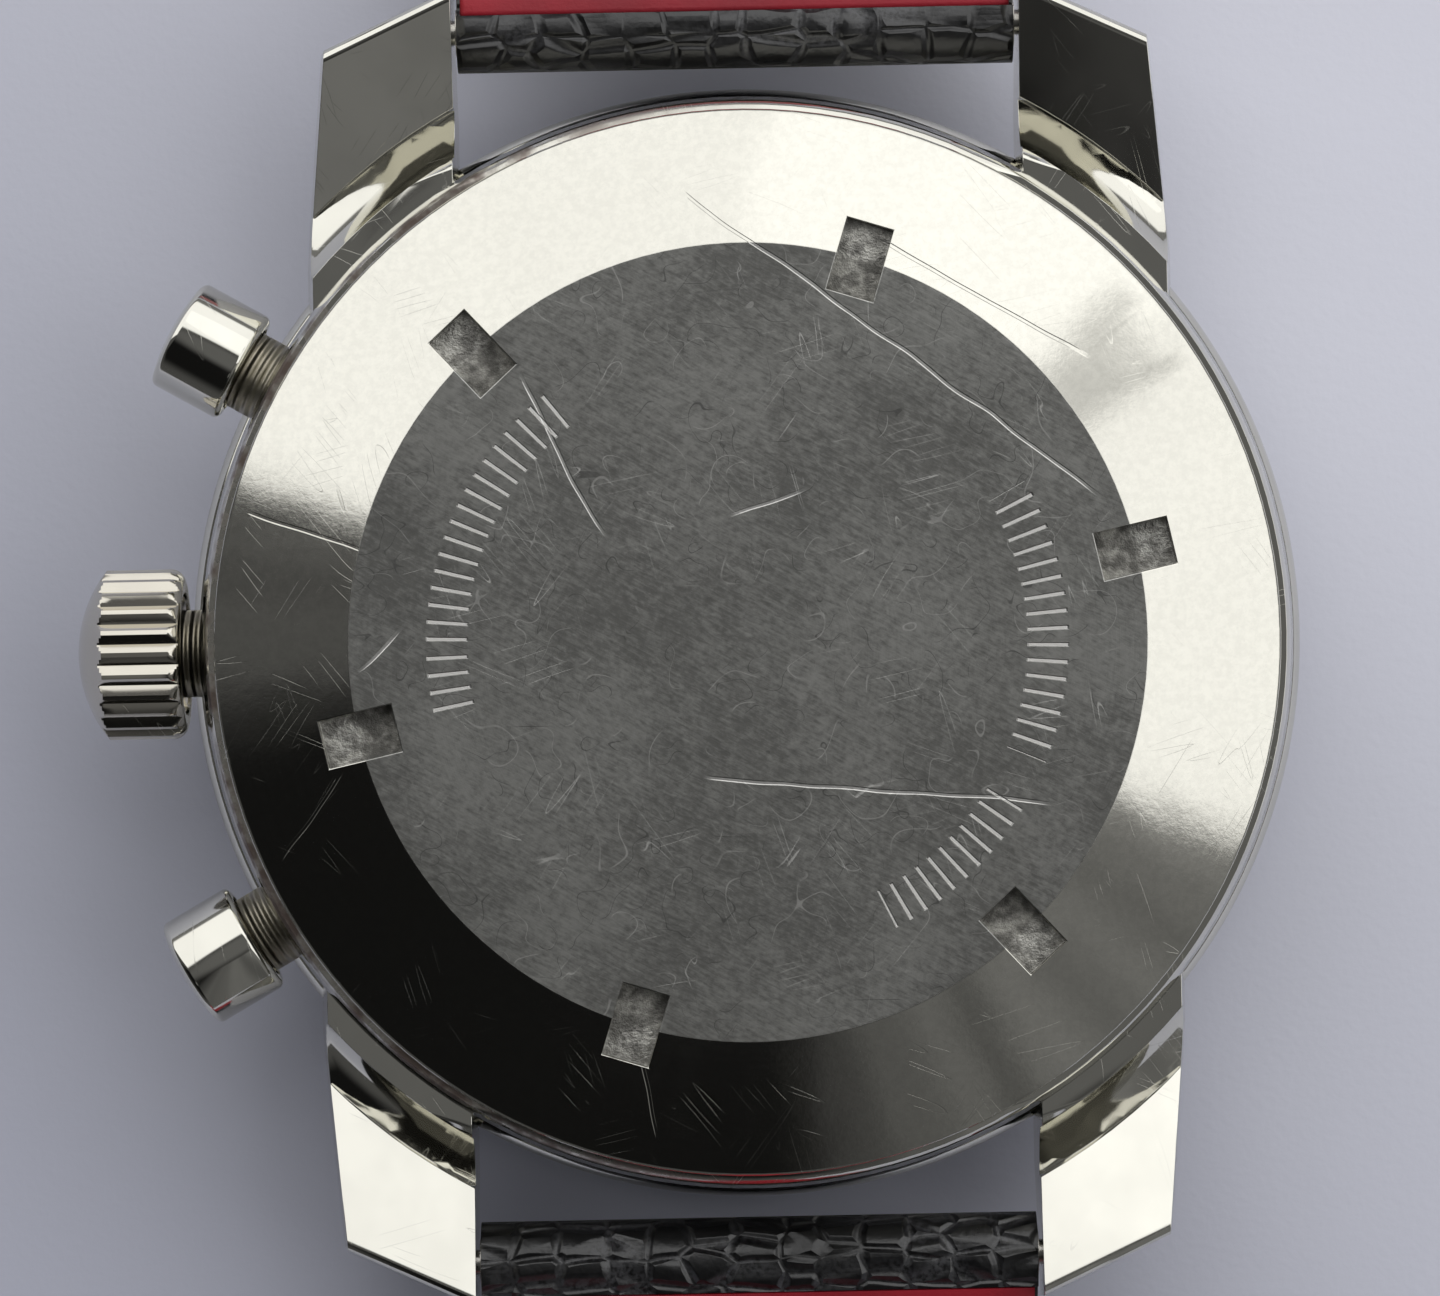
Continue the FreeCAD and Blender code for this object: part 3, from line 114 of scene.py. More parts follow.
class Wire:  # an output of a shader node, with sums that add further nodes
    def __init__(self, finish, socket):
        self.finish, self.socket = finish, socket

    def math(self, operation, *values):
        inputs = {k: v for k, v in enumerate((self,) + values)}
        return self.finish.add("ShaderNodeMath", {"operation": operation}, inputs)

    def __add__(self, other):
        return self.math("ADD", other)

    def __sub__(self, other):
        return self.math("SUBTRACT", other)

    def __rsub__(self, other):
        return (self * -1).math("ADD", other)

    def __mul__(self, other):
        return self.math("MULTIPLY", other)

    def __truediv__(self, other):
        return self.math("DIVIDE", other)

    def __pow__(self, other):
        return self.math("POWER", other)

    __radd__ = __add__
    __rmul__ = __mul__

    def step(self, low, high):  # 0 below low, 1 above high; turned round where low is above high
        settings = {"interpolation_type": "SMOOTHSTEP"}
        if low > high:
            values = {"Value": self, "From Min": high, "From Max": low, "To Min": 1.0, "To Max": 0.0}
        else:
            values = {"Value": self, "From Min": low, "From Max": high, "To Min": 0.0, "To Max": 1.0}
        return self.finish.add("ShaderNodeMapRange", settings, values)

    def near(self, centre, half, soft):  # 1 within half of centre
        return (self - centre).math("ABSOLUTE").step(half + soft, half)

    def nearTurn(self, centre, half, soft):  # the same for an angle in degrees, which wraps
        return (self - centre).math("WRAP", 180.0, -180.0).near(0.0, half, soft)


class Finish:  # a material on the piece's own coordinates, in mm
    def __init__(self, name, **uniform):
        self.material = bpy.data.materials.new(name)
        self.material.use_nodes = True
        self.tree = self.material.node_tree
        self.shader = self.tree.nodes["Principled BSDF"]
        for socket, value in uniform.items():
            self.shader.inputs[socket.replace("_", " ")].default_value = value
        place = self.add("ShaderNodeTexCoord", output="Object")
        self.place = self.add("ShaderNodeVectorMath", {"operation": "SCALE"}, {0: place, "Scale": 1000.0})
        parts = self.tree.nodes.new("ShaderNodeSeparateXYZ")
        self.tree.links.new(self.place.socket, parts.inputs[0])
        self.x, self.y, self.z = (Wire(self, parts.outputs[k]) for k in range(3))

    def add(self, kind, settings=None, inputs=None, output=0):
        node = self.tree.nodes.new(kind)
        for name, value in (settings or {}).items():
            setattr(node, name, value)
        for name, value in (inputs or {}).items():
            if isinstance(value, Wire):
                self.tree.links.new(value.socket, node.inputs[name])
            else:
                node.inputs[name].default_value = value
        return Wire(self, node.outputs[output])

    def join(self, x, y, z=0.0):
        return self.add("ShaderNodeCombineXYZ", inputs={0: x, 1: y, 2: z})

    def stretch(self, x, y, z, turn=0.0):  # places in mm, turned about Z and then scaled
        inputs = {"Vector": self.place, "Angle": turn}
        swung = self.add("ShaderNodeVectorRotate", {"rotation_type": "Z_AXIS"}, inputs)
        return self.add("ShaderNodeVectorMath", {"operation": "MULTIPLY"}, {0: swung, 1: (x, y, z)})

    def noise(self, where=None, scale=1.0, detail=2.0, rough=0.5):
        inputs = {"Vector": where or self.place, "Scale": scale, "Detail": detail, "Roughness": rough}
        return self.add("ShaderNodeTexNoise", inputs=inputs)

    def cells(self, where, scale, feature="DISTANCE_TO_EDGE", random=1.0):
        inputs = {"Vector": where, "Scale": scale, "Randomness": random}
        return self.add("ShaderNodeTexVoronoi", {"feature": feature}, inputs)

    def blend(self, factor, low, high):
        node = self.tree.nodes.new("ShaderNodeMix")
        node.data_type = "RGBA"
        for socket, value in ((node.inputs["Factor"], factor), (node.inputs[6], low), (node.inputs[7], high)):
            if isinstance(value, Wire):
                self.tree.links.new(value.socket, socket)
            elif isinstance(value, (int, float)):
                socket.default_value = value
            else:
                socket.default_value = (*value, 1)
        return Wire(self, node.outputs[2])

    def feed(self, **sockets):
        for name, wire in sockets.items():
            self.tree.links.new(wire.socket, self.shader.inputs[name.replace("_", " ")])

    def bump(self, height, depth):  # height from 0 to 1, depth in mm
        inputs = {"Height": height, "Distance": depth * mm, "Strength": 1.0}
        self.feed(Normal=self.add("ShaderNodeBump", inputs=inputs))

    def radius(self):
        return (self.x * self.x + self.y * self.y) ** 0.5

    def angle(self):  # degrees, -180 to 180 from +X
        return self.y.math("ARCTAN2", self.x) * (180 / math.pi)

    def hairlines(self, turn, low=0.66, length=0.16, pitch=2.2):  # long thin scratches one way
        drift = self.noise(self.stretch(length, pitch, length, turn), 1.0, 0.0)
        broken = self.noise(self.stretch(0.3, 0.5, 0.5, turn + 0.7), 1.0, 1.0).step(0.58, 0.7)
        return drift.near(low, 0.0015, 0.003) * broken

    def curls(self, scale, low=0.5, half=0.003):  # short curved scratches
        drift = self.noise(scale=scale, detail=0.0)
        broken = self.noise(self.stretch(0.7, 0.6, 0.6, low * 9), 1.0, 1.0).step(0.54, 0.62)
        return drift.near(low, half, half) * broken

    def wear(self):  # fine scratches every way
        total = self.hairlines(0.4)
        for turn, low in ((1.3, 0.40), (2.2, 0.58), (2.9, 0.44), (0.9, 0.52)):
            total = total.math("MAXIMUM", self.hairlines(turn, low))
        return total


steelTint = (0.68, 0.668, 0.605)


def polishedSteel(name="polishedSteel", tint=steelTint, rough=0.06, grooveLineRadius=0.0):
    steel = Finish(name, Metallic=1.0)
    scuffs = steel.wear()
    cloud = steel.noise(scale=0.45, detail=3.0)
    tone = steel.blend(cloud.step(0.35, 0.7), tint, tuple(c * 0.94 for c in tint))
    roughness = scuffs * 0.18 + cloud * 0.06 + rough
    if grooveLineRadius:  # a dark brown, rougher line in the groove round the back, on the -X side
        grooveLine = steel.radius().near(grooveLineRadius, 0.12, 0.06) * steel.z.step(9.9, 10.3)
        grooveLine = grooveLine * steel.noise(scale=0.7, detail=4.0, rough=0.6).step(0.30, 0.62) * steel.x.step(3.0, -9.0)
        tone = steel.blend(grooveLine * 0.85, tone, (0.075, 0.038, 0.030))
        roughness = roughness + grooveLine * 0.45
    steel.feed(Base_Color=tone, Roughness=roughness)
    steel.bump(steel.noise(scale=0.3, detail=1.0) - scuffs * 0.05, 0.02)
    return steel.material


backSizes = {
    "satinRadius": 12.5, "slotAngle": 12.5, "slotFloor": 11.85, "slotReach": 13.75,
    "tickRadius": 9.4, "tickHalf": 0.6, "tickPitch": 3.1, "tickDepth": 0.05,
    "tickArcs": ((159.8, 32), (3, 26), (-48, 15.5)),  # middle and half-width of each arc, in degrees
    "scratches": ((-1.9, 14.3, 11.0, 4.5), (-15.5, 4.4, -12.0, 3.2), (-3.6, -12.7, -3.2, -15.6),
                  (-0.4, 4.0, 1.9, 4.8), (-12.2, -0.6, -10.8, 0.6), (-1.4, -4.2, 9.4, -5.2),
                  (-6.9, 8.4, -4.4, 3.4), (-14.8, -6.6, -12.8, -3.8), (4.2, 12.6, 10.8, 8.8)),
}


def scratchLine(finish, x0, y0, x1, y1, half=0.035):
    length = math.hypot(x1 - x0, y1 - y0)
    ux, uy = (x1 - x0) / length, (y1 - y0) / length
    wander = finish.noise(scale=0.35, detail=1.0) * 0.4 - 0.2
    across = (finish.x - x0) * -uy + (finish.y - y0) * ux + wander
    along = (finish.x - x0) * ux + (finish.y - y0) * uy
    return across.near(0.0, half, half) * along.step(-0.2, 0.6) * along.step(length + 0.2, length - 0.8)


def caseBackSteel():
    back = Finish("caseBackSteel", Metallic=1.0)
    r, a = back.radius(), back.angle()
    satin = r.step(backSizes["satinRadius"] + 0.04, backSizes["satinRadius"] - 0.04)
    slot = r.step(backSizes["slotReach"] + 0.1, backSizes["slotReach"]) * back.z.step(
        backSizes["slotFloor"] + 0.15, backSizes["slotFloor"])
    arcs = None
    for middle, half in backSizes["tickArcs"]:
        arc = a.nearTurn(float(middle), float(half), 0.2)
        arcs = arc if arcs is None else arcs.math("MAXIMUM", arc)
    comb = ((a / backSizes["tickPitch"]).math("FRACT") - 0.5).math("ABSOLUTE").step(0.14, 0.08)
    ticks = comb * arcs * r.near(backSizes["tickRadius"], backSizes["tickHalf"], 0.06) * satin
    lines = None
    for ends in backSizes["scratches"]:
        line = scratchLine(back, *ends)
        lines = line if lines is None else lines.math("MAXIMUM", line)
    fine = back.wear()
    rings = back.noise(back.join(r * 9.0, a * 0.02, 0.0), 1.0, 2.0, 0.6)
    grain = back.noise(scale=9.0, detail=3.0, rough=0.65)
    stain = back.noise(scale=0.22, detail=3.0)
    strokes = back.noise(back.stretch(1.9, 11.0, 1.0, 0.5), 1.0, 3.0, 0.65)
    mottle = back.noise(scale=3.6, detail=4.0, rough=0.72)
    cloudy = (stain * 0.9 + strokes * 0.75 + mottle * 0.75 - 0.7).step(0.22, 0.78)
    satinTone = back.blend(cloudy, (0.28, 0.279, 0.263), (0.48, 0.478, 0.453))
    nicks = back.curls(0.8, 0.46).math("MAXIMUM", back.curls(1.4, 0.56, 0.005))
    nicks = nicks.math("MAXIMUM", back.hairlines(2.0, 0.61))
    satinTone = back.blend(nicks * 0.6, satinTone, (0.14, 0.14, 0.135))
    glints = back.curls(0.55, 0.57).math("MAXIMUM", back.curls(1.0, 0.42, 0.004))
    satinTone = back.blend(glints * 0.5, satinTone, (0.80, 0.79, 0.76))
    bright = back.blend(mottle.step(0.35, 0.65), steelTint, tuple(c * 0.93 for c in steelTint))
    tone = back.blend(satin, bright, satinTone)
    tone = back.blend(ticks, tone, (0.80, 0.79, 0.76))
    tone = back.blend(lines.math("MAXIMUM", fine * 0.5) * satin * 0.7, tone, (0.86, 0.85, 0.82))
    slotStain = back.noise(scale=2.2, detail=3.0).step(0.35, 0.7)
    floorTone = back.blend(slotStain, (0.20, 0.195, 0.18), (0.55, 0.54, 0.50))
    tone = back.blend(slot, tone, floorTone)
    rough = satin * (0.17 + mottle * 0.1) + rings * 0.05 + grain * 0.03 + fine * 0.12 + 0.055
    back.feed(Base_Color=tone, Roughness=rough + slot * 0.35 + ticks * 0.25)
    waves = back.noise(scale=0.3, detail=1.0) * 0.4
    height = waves + rings * satin * 0.05 + strokes * satin * 0.06 + mottle * 0.035
    height = height - ticks * 0.9 - lines * 0.25 - fine * 0.03 + slot * grain * 0.8
    back.bump(height, backSizes["tickDepth"])
    return back.material


def satinSteel(name, tint=(0.62, 0.60, 0.56), rough=0.26, threads=0.0):
    steel = Finish(name, Metallic=1.0)
    grain = steel.noise(scale=6.0, detail=3.0, rough=0.6)
    cloud = steel.noise(scale=0.8, detail=2.0)
    steel.feed(Base_Color=steel.blend(cloud.step(0.3, 0.7), tint, tuple(c * 0.72 for c in tint)),
               Roughness=grain * 0.22 + rough - 0.08)
    height = grain * 0.3
    if threads:
        height = height + (steel.radius() * (2 * math.pi / threads)).math("SINE") * 0.9
    steel.bump(height, 0.05)
    return steel.material


def brushedMetal(name, tint, rough=0.3, turn=0.0):  # plates and wheels of the movement
    metal = Finish(name, Metallic=1.0)
    lines = metal.noise(metal.stretch(0.6, 18.0, 6.0, turn), 1.0, 2.0, 0.6)
    spots = metal.noise(scale=1.2, detail=3.0)
    metal.feed(Base_Color=metal.blend(spots.step(0.35, 0.75), tint, tuple(c * 0.82 for c in tint)),
               Roughness=lines * 0.2 + rough - 0.1)
    metal.bump(lines, 0.01)
    return metal.material


def scaleLeather(name):  # black reptile grain, worn to a grey sheen on its scales
    hide = Finish(name, Specular_IOR_Level=0.85)
    warp = hide.noise(scale=0.35, detail=2.0)
    shift = {0: hide.stretch(0.72, 1.05, 0.95), 1: hide.join(warp * 0.5, hide.noise(scale=0.3) * 0.6)}
    where = hide.add("ShaderNodeVectorMath", {"operation": "ADD"}, shift)
    edge = hide.cells(where, 1.0, random=0.42)
    scales = edge.step(0.015, 0.17)
    pores = hide.noise(scale=6.0, detail=3.0, rough=0.65)
    patch = hide.noise(scale=0.22, detail=2.0).step(0.40, 0.62)
    worn = (1 - scales) * patch * pores.step(0.35, 0.6)
    tone = hide.blend(scales * patch, (0.0015, 0.0015, 0.0018), (0.004, 0.004, 0.0045))
    hide.feed(Base_Color=hide.blend(worn, tone, (0.050, 0.050, 0.054)),
              Roughness=0.30 - scales * patch * 0.08 + pores * 0.16)
    hide.bump(scales * 0.8 + pores * 0.08 + hide.noise(scale=1.6) * 0.2, 0.15)
    return hide.material


def plainLeather(name, tint, dark, grainDepth=0.05, rough=0.55):
    hide = Finish(name, Specular_IOR_Level=0.4)
    pores = hide.noise(scale=5.0, detail=4.0, rough=0.65)
    creases = hide.noise(hide.stretch(0.25, 1.6, 1.6), 1.0, 3.0, 0.55)
    soil = hide.noise(scale=0.18, detail=3.0)
    hide.feed(Base_Color=hide.blend(soil.step(0.32, 0.72), tint, dark), Roughness=pores * 0.2 + rough - 0.1)
    hide.bump(pores * 0.5 + creases * 0.6, grainDepth)
    return hide.material


def dialPaint():
    paint = Finish("dialPaint", Metallic=0.35, Coat_Weight=0.3)
    r, a = paint.radius(), paint.angle()

    def comb(angle, pitch, duty):
        return ((angle / pitch + 0.5).math("FRACT") - 0.5).math("ABSOLUTE").step(duty + 0.01, duty)

    printed = comb(a, 6.0, 0.03) * r.near(14.0, 0.45, 0.02)
    printed = printed.math("MAXIMUM", comb(a, 1.2, 0.05) * r.near(14.2, 0.22, 0.02))
    printed = printed.math("MAXIMUM", r.near(14.48, 0.03, 0.015))
    counters = None
    for side in (1, -1):
        cx = paint.x - side * 7.2
        cr = (cx * cx + paint.y * paint.y) ** 0.5
        ca = paint.y.math("ARCTAN2", cx) * (180 / math.pi)
        ring = comb(ca, 30.0, 0.02) * cr.near(2.45, 0.3, 0.02)
        ring = ring.math("MAXIMUM", comb(ca, 6.0, 0.05) * cr.near(2.6, 0.13, 0.02))
        ring = ring.math("MAXIMUM", cr.near(2.74, 0.02, 0.01))
        inside = cr.step(2.95, 2.88)
        grooves = (cr * 40.0).math("SINE") * inside
        printed = printed * (1 - inside) + ring
        counters = grooves if counters is None else counters + grooves
    sun = paint.noise(paint.join(a * 0.25, r * 0.05), 1.0, 3.0, 0.6)
    speck = paint.noise(scale=14.0, detail=2.0)
    silver = paint.blend(sun.step(0.3, 0.7), (0.74, 0.73, 0.69), (0.84, 0.83, 0.79))
    paint.feed(Base_Color=paint.blend(printed, silver, (0.015, 0.015, 0.02)), Roughness=speck * 0.15 + 0.32)
    paint.bump(counters * 0.5 + speck * 0.2, 0.012)
    return paint.material


def clearCrystal():
    glass = Finish("clearCrystal", Transmission_Weight=1.0, IOR=1.49)
    wear = glass.wear()
    glass.feed(Base_Color=glass.blend(wear, (1.0, 1.0, 1.0), (0.94, 0.94, 0.95)), Roughness=wear * 0.12 + 0.015)
    return glass.material


def dull(name, tint, rough=0.6):
    stuff = Finish(name)
    grain = stuff.noise(scale=4.0, detail=3.0)
    stuff.feed(Base_Color=stuff.blend(grain, tint, tuple(c * 0.7 for c in tint)),
               Roughness=grain * 0.2 + rough - 0.1)
    stuff.bump(grain, 0.02)
    return stuff.material


def blueSteel():
    steel = Finish("blueSteel", Metallic=1.0)
    cloud = steel.noise(scale=0.6, detail=2.0)
    steel.feed(Base_Color=steel.blend(cloud, (0.03, 0.05, 0.18), (0.05, 0.09, 0.30)),
               Roughness=cloud * 0.1 + 0.15)
    return steel.material


strapSizes = {
    "barReach": 19.75, "barHeight": 6.9, "rampLength": 4.0, "rampAngle": 20.0, "thickness": 2.4, "lining": 0.6,
    "loopRadius": 1.3, "width": 17.8, "endWidth": 15.8, "buckleLevel": 3.0, "buckleFlat": 49.0,
    "tailLevel": 1.25, "tailFlat": 28.0, "curlRadius": 80.0, "curlAngle": 43.0,
    "taperStart": 24, "taperEnd": 74, "tipStart": 12, "tipLength": 12.3, "liningTrim": 0.12,
    "buckleStart": 0.02, "tailStart": 0.68, "buckleLiningShort": 5.5, "tailLiningShort": 0.4,
    "leatherEdge": 0.42, "liningEdge": 0.16, "slotWidth": 2.7, "slotLength": 6.4, "columns": 20, "pitch": 0.8,
}
holeSizes = {"count": 6, "first": 9, "pitch": 4.7, "radius": 0.95}  # first and pitch in degrees of the curl
stitchSizes = {
    "halfWidth": 0.2, "halfLength": 0.95, "halfHeight": 0.17, "pitch": 2.7, "inset": 1.7, "slant": 0.12,
    "topSink": 0.04, "underRise": 0.13, "start": 9.0, "buckleShort": 7, "tailShort": 16,
}


def strapCourse(level, flat, curl):  # the middle line as (length, radius or None, degrees) steps
    s = strapSizes
    rise = math.radians(s["rampAngle"])
    radius = (s["barHeight"] - s["rampLength"] * math.sin(rise) - level) / (1 - math.cos(rise))
    steps = [(s["rampLength"], None), (radius * rise, radius), (flat, None)]
    if curl:
        steps.append((s["curlRadius"] * math.radians(s["curlAngle"]), s["curlRadius"]))
    return steps


def strapPoint(steps, along, offset):  # (y, z, heading) in mm, at an offset above the middle line
    y, z, heading = strapSizes["barReach"], strapSizes["barHeight"], -math.radians(strapSizes["rampAngle"])
    left = along
    for index, (length, radius) in enumerate(steps):
        part = left if index == len(steps) - 1 else min(left, length)
        if radius:
            turn = part / radius
            y += radius * (math.sin(heading + turn) - math.sin(heading))
            z += radius * (math.cos(heading) - math.cos(heading + turn))
            heading += turn
        else:
            y, z = y + part * math.cos(heading), z + part * math.sin(heading)
        left -= part
        if left <= 0:
            break
    return y - offset * math.sin(heading), z + offset * math.cos(heading), heading


def halfWidth(y):
    full, slim = strapSizes["width"] / 2, strapSizes["endWidth"] / 2
    return full + (slim - full) * rounded(y, strapSizes["taperStart"], strapSizes["taperEnd"])


def bandPiece(name, outline, columns, widthAt, side):  # a grid wrapped round a side outline, and closed
    clearSelection()
    bpy.ops.mesh.primitive_grid_add(x_subdivisions=columns, y_subdivisions=len(outline), size=2)
    piece = bpy.context.object
    piece.name = name
    for index, vertex in enumerate(piece.data.vertices):
        row, column = divmod(index, columns + 1)
        y, z = outline[row % len(outline)]
        vertex.co = ((2 * column / columns - 1) * widthAt(y) * mm, side * y * mm, z * mm)
    bpy.ops.object.mode_set(mode="EDIT")
    bpy.ops.mesh.select_all(action="SELECT")
    bpy.ops.mesh.remove_doubles(threshold=0.001 * mm)
    for end in (1, -1):
        bpy.ops.mesh.select_mode(type="EDGE")
        bpy.ops.mesh.select_all(action="DESELECT")
        mesh = bmesh.from_edit_mesh(piece.data)
        for edge in mesh.edges:
            edge.select = edge.is_boundary and edge.verts[0].co.x * end > 0
        bmesh.update_edit_mesh(piece.data)
        bpy.ops.mesh.edge_face_add()
    bpy.ops.mesh.select_all(action="SELECT")
    bpy.ops.mesh.normals_make_consistent(inside=False)
    bpy.ops.object.mode_set(mode="OBJECT")
    return piece


def leatherOutline(steps, start, total, endRound):
    s = strapSizes
    half, skin, loop = s["thickness"] / 2, s["lining"], s["loopRadius"]
    top = []
    count = int(total / s["pitch"])
    places = [max(start - 0.06, 0.02), start + 0.02]
    places += [start + 0.4 + (total - start - 0.4) * k / count for k in range(count + 1)]
    for along in places:
        height = loop - 0.5 - (loop - 0.5 - half + skin) * rounded(along, 1.0, 2.0)
        if along < start:
            height = loop - 0.02
        top.append(strapPoint(steps, along, height)[:2])
    under = []
    for k in range(count + 1):
        under.append(strapPoint(steps, total - (total - s["pitch"]) * k / count, -half)[:2])
    cap = []
    if endRound:
        y, z, heading = strapPoint(steps, total, 0)
        for k in range(1, 12):
            turn = heading + math.pi / 2 - math.pi * k / 12
            cap.append((y + half * math.cos(turn), z + half * math.sin(turn)))
    heading = -math.radians(s["rampAngle"])
    loopPoints = []
    for k in range(25):  # round the spring bar, from under the strap to over it
        turn = heading - math.pi / 2 - math.pi * k / 24
        loopPoints.append((s["barReach"] + loop * math.cos(turn), s["barHeight"] + loop * math.sin(turn)))
    return top + cap + under + loopPoints


def liningOutline(steps, start, total):
    half, skin, loop = strapSizes["thickness"] / 2, strapSizes["lining"], strapSizes["loopRadius"]
    count = int((total - start) / strapSizes["pitch"])
    top, under = [], []
    for k in range(count + 1):
        along = start + (total - start) * k / count
        nearBar = 1 - rounded(along, 1.0, 2.0)
        top.append(strapPoint(steps, along, half + 0.06 * nearBar)[:2])
        under.append(strapPoint(steps, along, half - skin + 0.2 * nearBar)[:2])
    return top + under[::-1]


def stitchRow(name, steps, start, total, side, body, thread):
    size = stitchSizes
    bpy.ops.mesh.primitive_uv_sphere_add(segments=8, ring_count=6, radius=1)
    stitch = bpy.context.object
    stitch.scale = (size["halfWidth"] * mm, size["halfLength"] * mm, size["halfHeight"] * mm)
    fixPlace(stitch)
    made = []
    count = int((total - start) / size["pitch"])
    half = strapSizes["thickness"] / 2
    for k in range(count + 1):
        along = start + (total - start) * k / count
        for offset in (half - size["topSink"], size["underRise"] - half):
            y, z, heading = strapPoint(steps, along, offset)
            for hand in (1, -1):
                x = hand * (halfWidth(y) - size["inset"])
                turn = Matrix.Rotation(heading * side, 4, "X") @ Matrix.Rotation(size["slant"] * hand, 4, "Z")
                made.append(copied(stitch, Matrix.Translation((x * mm, side * y * mm, z * mm)) @ turn))
    bpy.data.objects.remove(stitch)
    row = join(made, name)
    dress(row, thread)
    smooth(row)
    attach(row, body)
    return row


def cutHoles(piece, steps, total):
    cutters = []
    for k in range(holeSizes["count"]):
        fromTip = math.radians(holeSizes["first"] + holeSizes["pitch"] * k)
        along = total - fromTip * strapSizes["curlRadius"]
        y, z, heading = strapPoint(steps, along, 0)
        bpy.ops.mesh.primitive_cylinder_add(vertices=32, radius=holeSizes["radius"] * mm, depth=6 * mm,
                                            location=(0, -y * mm, z * mm), rotation=(-heading, 0, 0))
        cutters.append(fixPlace(bpy.context.object))
    cutter = join(cutters, "holeCutter")
    modify(piece, "BOOLEAN", operation="DIFFERENCE", object=cutter, solver="EXACT")
    bpy.data.objects.remove(cutter)


def makeStrap(leather, lining, thread):
    s = strapSizes
    for name, side, level, flat, start, curl in (
            ("buckle", 1, s["buckleLevel"], s["buckleFlat"], s["buckleStart"], False),
            ("tail", -1, s["tailLevel"], s["tailFlat"], s["tailStart"], True)):
        steps = strapCourse(level, flat, curl)
        total = sum(length for length, radius in steps)
        endY = strapPoint(steps, total, 0)[0]
        body = name + "_half"

        def widthAt(y, trim=0.0):
            wide = halfWidth(y) - trim
            if curl:
                back = min(max((y - endY + s["tipStart"]) / s["tipLength"], 0), 1)
                wide *= math.sqrt(max(1 - back ** 2.4, 0.0004))
            return wide

        liningEnd = total - (s["tailLiningShort"] if curl else s["buckleLiningShort"])
        outline = leatherOutline(steps, start, total, not curl)
        outer = bandPiece(name + "Leather", outline, s["columns"], widthAt, side)
        outline = liningOutline(steps, start, liningEnd)
        inner = bandPiece(name + "Lining", outline, s["columns"], lambda y: widthAt(y, s["liningTrim"]), side)
        if curl:
            cutHoles(outer, steps, total)
            cutHoles(inner, steps, total)
        else:
            for piece in (outer, inner):
                bpy.ops.mesh.primitive_cube_add(size=1, location=(0, (endY + 0.5) * mm, 3 * mm))
                slotCutter = bpy.context.object
                slotCutter.scale = (s["slotWidth"] * mm, s["slotLength"] * mm, 8 * mm)
                fixPlace(slotCutter)
                modify(piece, "BOOLEAN", operation="DIFFERENCE", object=slotCutter, solver="EXACT")
                bpy.data.objects.remove(slotCutter)
        for piece, node, material, edge, segments in (
                (outer, f"strap_{name}_half", leather, s["leatherEdge"], 3),
                (inner, f"lining_{name}_half", lining, s["liningEdge"], 2)):
            modify(piece, "BEVEL", width=edge * mm, segments=segments, limit_method="ANGLE",
                   angle_limit=math.radians(50))
            dress(piece, material)
            smooth(piece, 50)
            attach(piece, body)
            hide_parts(node)
        stitchEnd = total - (stitchSizes["tailShort"] if curl else stitchSizes["buckleShort"])
        stitchRow(name + "Stitches", steps, stitchSizes["start"], stitchEnd, side, body, thread)
        print(f"{name} half of the strap made, {total:.1f} mm long")


def softened(node, name, material, width, segments=2, angle=32, creaseAngle=28, tipBevel=0.0,
             flatten=True):  # a copy of the CAD shape with eased edges
    clearSelection()
    piece = nodes[node].copy()
    piece.data = nodes[node].data.copy()
    piece.parent = None
    piece.name = name
    bpy.context.scene.collection.objects.link(piece)
    only(piece)
    bpy.ops.object.mode_set(mode="EDIT")
    bpy.ops.mesh.select_all(action="SELECT")
    bpy.ops.mesh.remove_doubles(threshold=0.004 * mm)
    bpy.ops.mesh.customdata_custom_splitnormals_clear()
    bpy.ops.mesh.dissolve_limited(angle_limit=math.radians(0.4))
    if tipBevel:
        print(f"{selectTips(piece)} lug edges eased")
        bpy.ops.mesh.bevel(offset=tipBevel * mm, segments=4, clamp_overlap=False)
    bpy.ops.object.mode_set(mode="OBJECT")
    modify(piece, "BEVEL", width=width * mm, segments=segments, limit_method="ANGLE",
           angle_limit=math.radians(angle), use_clamp_overlap=True, harden_normals=False)
    dress(piece, material)
    smooth(piece, creaseAngle)
    if flatten:
        modify(piece, "WEIGHTED_NORMAL", keep_sharp=True, weight=80)
    bodies = frame["record"]["behaviour"]["bodies"]
    body = next(owner for owner, members in bodies.items() if node in members)
    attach(piece, body)
    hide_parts(node)
    return piece


def selectTips(piece):  # the outer edges of the lugs' back faces
    bpy.ops.mesh.select_mode(type="EDGE")
    bpy.ops.mesh.select_all(action="DESELECT")
    mesh = bmesh.from_edit_mesh(piece.data)
    chosen = 0
    for edge in mesh.edges:
        middle = (edge.verts[0].co + edge.verts[1].co) / 2
        if abs(middle.y) < 15 * mm or middle.z < 7.2 * mm or len(edge.link_faces) != 2:
            continue
        flat, steep = sorted(edge.link_faces, key=lambda face: -face.normal.z)
        outwards = steep.normal.x * middle.x + steep.normal.y * middle.y
        atTip = abs(steep.normal.y) > abs(steep.normal.x)
        if flat.normal.z > 0.6 and abs(steep.normal.z) < 0.45 and outwards > 0.3 * abs(middle.x) and atTip:
            edge.select = True
            chosen += 1
    bmesh.update_edit_mesh(piece.data)
    return chosen


